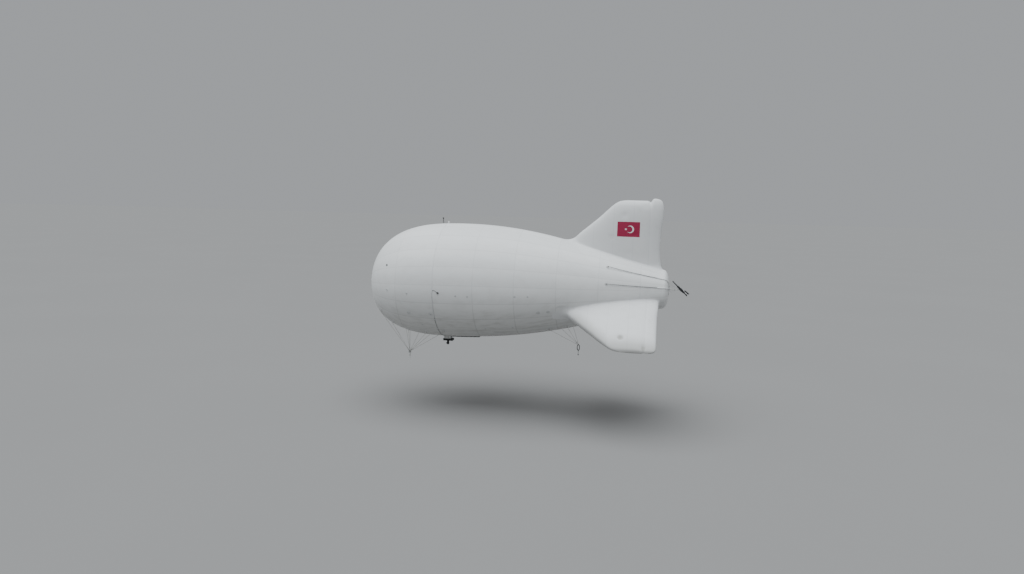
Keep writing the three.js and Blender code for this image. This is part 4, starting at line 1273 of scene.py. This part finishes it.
pad_cloth = make_material("pad_cloth", {"Sheen Weight": 0.2}, pad_pattern)
WELTS = (low.z + 0.012, high.z - 0.030)
STRAPS = (middle.x - 0.36 * half.x, middle.x + 0.36 * half.x)
LOFT = 0.014
slack = half - Vector((0.012, 0.012, 0.008))
pad = rim_bevel(block("payload_cushion", middle, slack * 2), 0.028, 4)
grid = pad.modifiers.new("grid", "REMESH")
grid.mode = "VOXEL"
grid.voxel_size = 0.009
bpy.ops.object.modifier_apply(modifier="grid")
flat = [corner.co.copy() for corner in pad.data.vertices]
sewn = pad.vertex_groups.new(name="sewn")
for corner in pad.data.vertices:
    x, y, z = corner.co
    on_side = max(abs(x - middle.x) / slack.x, abs(y) / slack.y) > 0.93
    held = on_side and min(abs(z - welt) for welt in WELTS) < 0.008
    held = held or min(abs(x - strap) for strap in STRAPS) < 0.012 and z < high.z - 0.03
    if held or z > high.z - 0.012:
        sewn.add([corner.index], 1.0, "REPLACE")
cloth = pad.modifiers.new("cloth", "CLOTH")
cloth.settings.vertex_group_mass = "sewn"
cloth.settings.use_pressure = True
cloth.settings.uniform_pressure_force = 4.0
cloth.settings.effector_weights.gravity = 0.0
for step_number in range(1, 21):
    bpy.context.scene.frame_set(step_number)
bpy.ops.object.modifier_apply(modifier="cloth")
bpy.context.scene.frame_set(1)
for corner, start_point in zip(pad.data.vertices, flat):
    move = corner.co - start_point
    if move.length > LOFT:
        corner.co = start_point + move * (LOFT / move.length)
smoother = pad.modifiers.new("finer", "SUBSURF")
smoother.levels = smoother.render_levels = 1
bpy.ops.object.modifier_apply(modifier="finer")
bpy.ops.object.shade_smooth()
attach(painted(pad, pad_cloth), "pad_fabric", "payload_pad")


def squared(value):
    return math.copysign(abs(value) ** 0.22, value)


parts = []
for z in WELTS:
    welt = circle(72, lambda t: (middle.x + squared(math.cos(t)) * half.x * 0.985,
                                 squared(math.sin(t)) * half.y * 0.985, z))
    parts.append(line("pad_piping", welt, 0.006, pad_cloth, 8, closed=True))
for x in STRAPS:
    strap = sheet("pad_strap", 1, 24, lambda across, along: (
        x + across * 0.025, max(-1.0, min(1.0, along * 1.5)) * half.y * 0.990,
        low.z - 0.003 + max(0.0, abs(along) * 3 - 2) * (high.z - low.z - 0.02)))
    give_wall(strap, 0.003)
    parts.append(painted(strap, webbing))
assemble("pad_trim", parts, "pad_fabric")

# Equipment plate
# A black alloy housing under the pad holds the electronics. It has a lid joint, cooling ribs along both
# sides, feet bolted at the corners and sealed connectors at the front.
low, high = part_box("payload_plate")
middle = (low + high) / 2
half = (high - low) / 2
housing = block("equipment_housing", middle, high - low)
round_edges(housing, lambda a, b: abs(a.z - b.z) > 0.05, 0.035, 6)
select_faces(housing, lambda normal: normal.z < -0.9)
for inward, out in ((0.022, 0.0), (0.004, -0.004), (0.004, 0.004)):
    bpy.ops.mesh.inset(thickness=inward, depth=out)
bpy.ops.object.mode_set(mode="OBJECT")
parts = [painted(rim_bevel(housing, 0.003, 3, 40.0), black_metal)]
rib = painted(rim_bevel(block("cooling_rib", (0, 0, 0), (0.006, 0.016, 0.105)), 0.002, 2), black_metal)
for side in (-1, 1):
    for i in range(20):
        place = moved(middle.x - 0.285 + 0.030 * i, side * (half.y + 0.003), middle.z)
        parts.append(copy_of(rib, "side_rib", place))
bpy.data.objects.remove(rib)
for x in (-1, 1):
    for y in (-1, 1):
        place = moved(middle.x + x * (half.x - 0.030), y * (half.y - 0.030), low.z)
        parts.append(copy_of(bolt_master, "corner_bolt", place @ turned(180, "X")))
plug = ((0, 50), (9, 50), (11, 46), (11, 22), (19, 20), (19, 6), (24, 4), (24, -4))
for y in (-0.13, -0.06, 0.06, 0.13):
    place = moved(low.x, y, middle.z + 0.01) @ turned(-90, "Y")
    parts.append(turning("connector", plug, 24, 40.0, black_metal, place))
assemble("equipment_assembly", parts, "black_equipment", "payload_plate")

# Gimbal yoke
# A cast fork turns under the housing on the pan bearing. Its two rounded arms carry the camera ball between
# covered bearings.
PAN_X = 5.34 + NOSE
PAN_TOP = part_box("payload_plate")[0].z - 0.005
TILT_Z = PAN_TOP + 0.005 - 0.215
base = ((0, 12), (15.5, 12), (15.5, 0), (72, 0), (80, -6), (80, -16), (76, -18), (80, -20), (80, -32),
        (70, -38), (0, -40))
parts = [turning("pan_base", base, 64, 30.0, black_metal, moved(0, 0, PAN_TOP))]
bridge = block("fork_bridge", (0, 0, PAN_TOP - 0.021), (0.090, 0.260, 0.030))
round_edges(bridge, lambda a, b: abs(a.x - b.x) > 0.05 and a.z > PAN_TOP - 0.021, 0.020, 6)
parts.append(painted(rim_bevel(bridge, 0.003, 3), black_metal))
black_rubber = coat(
    "black_rubber", {"Specular IOR Level": 0.4}, ((0.016, 0.017, 0.019, 1),),
    [((14.0, 4.0), (0.45, 0.8), 0.5, (0.05, 0.048, 0.045, 1))], (0.5, 0.25, 30.0), (400.0, 2.0, 0.0002, 0.5))
cap = ((0, 9), (26, 9), (30, 5), (30, -2))
arm_top, arm_foot = PAN_TOP - 0.018, TILT_Z - 0.045
for side in (-1, 1):
    arm = block("fork_arm", (0, side * 0.119, (arm_top + arm_foot) / 2), (0.090, 0.022, arm_top - arm_foot))
    round_edges(arm, lambda a, b: abs(a.y - b.y) > 0.01 and a.z < TILT_Z, 0.0445, 12)
    parts.append(painted(rim_bevel(arm, 0.003, 3), black_metal))
    place = moved(0, side * 0.130, TILT_Z) @ turned(-90 * side, "X")
    parts.append(turning("bearing_cover", cap, 32, 40.0, black_rubber, place))
place = moved(PAN_X, 0, 0)
assemble("gimbal_fork", parts, "black_equipment", "gimbal_yoke", body="gimbal_pan", place=place)

# Camera ball
# The sealed ball holds the cameras. It has a joint round its middle, a hooded main window and a smaller
# second window.
camera_gloss = coat(
    "camera_gloss", {"Coat Weight": 0.5, "Coat Roughness": 0.08}, ((0.010, 0.012, 0.015, 1),),
    [((30.0, 4.0), (0.5, 0.8), 0.4, (0.035, 0.035, 0.036, 1))], (0.16,), (120.0, 0.0001, 0.3), dusty=0.25)
lens_glass = coat(
    "lens_glass", {"Coat Weight": 1.0, "Coat Roughness": 0.02},
    ((0.004, 0.006, 0.012, 1), (0.012, 0.012, 0.028, 1), 50.0), [], (0.04, 0.05, 80.0))
turns = [math.radians(-90 + 180 * i / 32) for i in range(33)]
arc = [(100 * math.cos(turn), -100 * math.sin(turn)) for turn in turns]
arc = arc[:16] + [(100, 4), (97.5, 2), (97.5, -2), (100, -4)] + arc[17:]
parts = [turning("ball_shell", arc, 64, 25.0, camera_gloss, turned(90, "X"))]
trunnion = ((0, 119), (12.5, 119), (12.5, 104), (34, 104), (38, 100), (38, 85))
for flip in (0, 180):
    parts.append(turning("trunnion", trunnion, 32, 40.0, black_metal, turned(flip, "Z") @ turned(90, "X")))
hood = ((0, 116), (36, 116), (37, 123.5), (41, 123.5), (42, 121), (42, 86))
small = ((0, 101), (13, 101), (13.5, 105), (17, 105), (18, 102.5), (18, 85))
WINDOWS = (("main_window", hood, 48, 0.035, 0), ("second_window", small, 32, 0.0132, 38))
for name, rim, steps, clear, tilt in WINDOWS:
    window = turning(name, rim, steps, 30.0, black_metal)
    second_finish(window, lens_glass, lambda off, z: off < clear)
    window.data.transform(turned(tilt, "Y") @ turned(-90, "Y"))
    parts.append(window)
place = moved(PAN_X, 0, TILT_Z)
assemble("camera_assembly", parts, "camera_gloss", "camera_ball", body="gimbal_tilt", place=place)

# Belly rail
# A stiff black cable duct follows the belly aft of the payload. Webbing bands on small doublers hold it up.
RAIL_START = 5.65
RAIL_LENGTH = 2.00
FIRST_BAND = 5.73
BAND_PITCH = 0.307
BAND = (
    # half of the band's width, and its drop under the hull's lowest line
    (0.0, 0.114), (0.018, 0.114), (0.036, 0.114), (0.050, 0.113), (0.058, 0.104), (0.0585, 0.012),
    (0.080, 0.0045), (0.120, 0.0040),
)
HULL_CURVE = 3.9


def belly_height(station):
    return axis_height(station) - hull_radius(station)


duct = begin(bpy.ops.mesh.primitive_cube_add, "cable_duct", size=2)
select_edges(duct, lambda a, b: abs(a.x - b.x) > 1.0)
bpy.ops.mesh.subdivide(number_cuts=40)
bpy.ops.object.mode_set(mode="OBJECT")
for corner in duct.data.vertices:
    station = RAIL_START + RAIL_LENGTH * (corner.co.x + 1) / 2
    drop = 0.003 if corner.co.z > 0 else 0.111
    corner.co = (station + NOSE, corner.co.y * 0.055, belly_height(station) - drop)
parts = [painted(rim_bevel(duct, 0.012, 4, 50.0), black_rubber)]
for i in range(7):
    station = FIRST_BAND + BAND_PITCH * i

    def under_duct(x, y):
        wide, drop = BAND[round(abs(y) * 7)]
        height = belly_height(station) - drop + wide * wide / (2 * HULL_CURVE)
        return station + NOSE + x * 0.019, math.copysign(wide, y), height

    band = sheet("duct_band", 1, 14, under_duct)
    give_wall(band, 0.0025)
    parts.append(painted(band, dark_braid if i in (0, 6) else black_rubber))
assemble("cable_duct_assembly", parts, "black_equipment", "belly_rail")

# Side lights and their cables
# Each side has a lamp on a rubber foot with a smoked lens. Its cable lies under tabs of laminate down the
# ring seam to the payload, and a flat white sleeve takes the feed up to the beacon.
CABLE = 5.30
LAMP_PLACE = (5.70, -7.5)
cable_sheath = coat(
    "cable_sheath", {}, ((0.07, 0.07, 0.07, 1), (0.13, 0.13, 0.125, 1), 9.0, 4.0), [], (0.5, 0.2, 30.0))
smoked_lens = coat(
    "smoked_lens", {"Coat Weight": 0.8, "Coat Roughness": 0.05},
    ((0.055, 0.052, 0.050, 1), (0.085, 0.080, 0.075, 1), 40.0), [], (0.12, 0.08, 60.0))
lamp_profile = ((0, 78), (20, 77), (36, 72), (46, 62), (50, 50), (50, 46), (60, 44), (62, 40), (62, 22),
                (58, 20), (58, 16), (66, 13), (100, 9.5), (108, 7), (110, 3), (110, -16))
LAMP_BOLT = Matrix.Diagonal((0.7, 0.7, 0.7, 1.0))


def laid(name, columns, rows, wide, mirror, shape):
    """A strip of laminate on the hull across the cable: shape gives its angle and height at a corner."""
    def on_hull(x, y):
        angle, lift = shape(x, y)
        return hull_point(CABLE + x * wide, mirror(angle), lift).to_translation()

    strip = sheet(name, columns, rows, on_hull)
    heal()
    give_wall(strip, 0.003)
    return strip


for side, mirror, _ in SIDES:
    light = turning("side_lamp", lamp_profile, 48, 32.0, black_rubber)
    second_finish(light, smoked_lens, lambda off, z: z > 0.0462)
    second_finish(light, patch_laminate, lambda off, z: off > 0.0665)
    parts = [light] + bolt_circle("lamp_bolt", 6, "Z", moved(0.086, 0, 0.009) @ LAMP_BOLT)
    place = hull_point(LAMP_PLACE[0], mirror(LAMP_PLACE[1]))
    assemble(f"side_lamp_{side}", parts, "black_equipment", f"side_light_{side}", place=place)
    bend = [(5.33, -5.5), (5.303, -6.8)]
    route = [(5.625, -6.9, 0.028), (5.56, -5.9, 0.018), (5.48, -5.15, 0.014), (5.40, -5.0, 0.014)]
    route += [(s, a, 0.014) for s, a in bend + [(CABLE, -9.0 - 3.0 * i) for i in range(25)] + [(5.28, -84.0)]]
    points = [hull_point(s, mirror(a), p).to_translation() for s, a, p in route + [(5.24, -86.3, 0.030)]]
    parts = [line("lamp_cable", points, 0.010, cable_sheath, 8)]
    covered = bend + [(CABLE, -9.0 - 2.0 * i) for i in range(14)]
    cover = [hull_point(s, mirror(a), 0.011).to_translation() for s, a in covered]
    parts.append(line("cable_sleeve", cover, [0.012] + [0.018] * 14 + [0.012], patch_laminate, 12))
    for i in range(7):
        middle = -37.0 - 6.9 * i
        tab = laid("cable_tab", 12, 2, 0.075, mirror,
                   lambda x, y: (middle + y * 0.62, max(0.0045, 0.030 - abs(x * 0.075) * 1.1)))
        parts.append(painted(tab, patch_laminate))
    assemble(f"lamp_cable_{side}", parts, "dark_line", f"light_cable_{side}")
    sleeve = laid(f"beacon_sleeve_{side}", 4, 90, 0.045, mirror,
                  lambda x, y: (41.0 + 46.0 * y, 0.003 + 0.006 * (1 - x * x)))
    bpy.ops.object.shade_smooth_by_angle(angle=math.radians(50))
    attach(painted(sleeve, fin_laminate), "hull_fabric")

# Beacon mast and dome
# A short dark grey mast with a flanged foot carries the beacon over the hull. Behind it stands a small white
# dome. Both stand on doublers.
MAST_STATION = 4.885
MAST_TOP = 0.3378
DOME_STATION = 5.255
mast_profile = ((0, 338), (26, 338), (26, 300), (29, 298), (29, 282), (26, 280), (26, 60), (32, 40),
                (50, 24), (85, 18), (88, 14), (88, 10.5), (124, 10.5), (130, 6), (130, -16))
mast = turning("beacon_tube", mast_profile, 48, 32.0, cable_sheath)
second_finish(mast, patch_laminate, lambda off, z: off > 0.0885)
parts = [mast] + bolt_circle("mast_bolt", 6, "Z", moved(0.070, 0, 0.018) @ LAMP_BOLT)
for turn in (60, 180, 300):
    foot = turned(turn, "Z") @ Vector((0.115, 0, 0.010))
    parts.append(line("mast_stay", [foot, Vector((0, 0, 0.288)) + foot * 0.22], 0.003, steel, 6))
mast_place = hull_point(MAST_STATION, 90.0)
assemble("beacon_mast_assembly", parts, "black_equipment", "beacon_mast", place=mast_place)
beacon_profile = [(0, 0), (44, 0), (50, 3), (52, 8), (52, 26), (47, 29)]
for i in range(5):
    beacon_profile += [(43, 33 + 9 * i), (47, 37.5 + 9 * i)]
beacon_profile += [(43, 78), (47, 80), (47, 84), (36, 89), (0, 90)]
beacon = turning("beacon", beacon_profile, 48, 25.0, black_metal)
second_finish(beacon, smoked_lens, lambda off, z: 0.030 < z < 0.078)
beacon.data.transform(mast_place @ moved(0, 0, MAST_TOP))
attach(beacon, "black_equipment", "beacon_lamp")

dome_plastic = coat(
    "dome_plastic", {}, ((0.60, 0.60, 0.59, 1),), [((16.0, 4.0), (0.5, 0.8), 0.4, (0.36, 0.35, 0.33, 1))],
    (0.42, 0.15, 25.0), (250.0, 0.0002, 0.5))
turns = [math.radians(turn) for turn in (90, 78, 66, 54, 42, 30, 18, 8, 0)]
dome_profile = [(70 * math.cos(turn), 92 + 64 * math.sin(turn)) for turn in turns]
dome_profile += [(70, 40), (74, 36), (78, 24), (78, 10.5), (104, 10.5), (110, 6), (110, -16)]
dome = turning("top_dome_shell", dome_profile, 48, 30.0, dome_plastic)
second_finish(dome, patch_laminate, lambda off, z: off > 0.0785)
dome.data.transform(hull_point(DOME_STATION, 90.0))
attach(dome, "dome_plastic", "top_dome")
bpy.data.objects.remove(bolt_master)

# Floor and light
# A pale floor far below, a broad soft lamp above and a plain grey surrounding light.
floor = begin(bpy.ops.mesh.primitive_plane_add, "floor", size=3000, location=(0, 0, -9.0))
floor_paint = coat(
    "floor_paint", {"Roughness": 1.0, "Specular IOR Level": 0.0},
    ((0.2325, 0.229, 0.2255, 1), (0.2465, 0.243, 0.24, 1), 0.05), [])
floor.data.materials.append(floor_paint)
world = bpy.data.worlds.new("surroundings")
bpy.context.scene.world = world
world.use_nodes = True
background = world.node_tree.nodes["Background"]
background.inputs["Color"].default_value = (0.84, 0.87, 0.905, 1)
background.inputs["Strength"].default_value = 0.45
lamp = bpy.data.objects.new("soft_lamp", bpy.data.lights.new("soft_lamp", "SUN"))
bpy.context.scene.collection.objects.link(lamp)
lamp.data.angle = math.radians(70)
lamp.data.energy = 4.35
lamp.data.color = (0.915, 0.965, 1.0)
lamp.rotation_euler = (Vector((0, 0, 0)) - Vector((-6.0, -9.0, 40.0))).to_track_quat("-Z", "Y").to_euler()
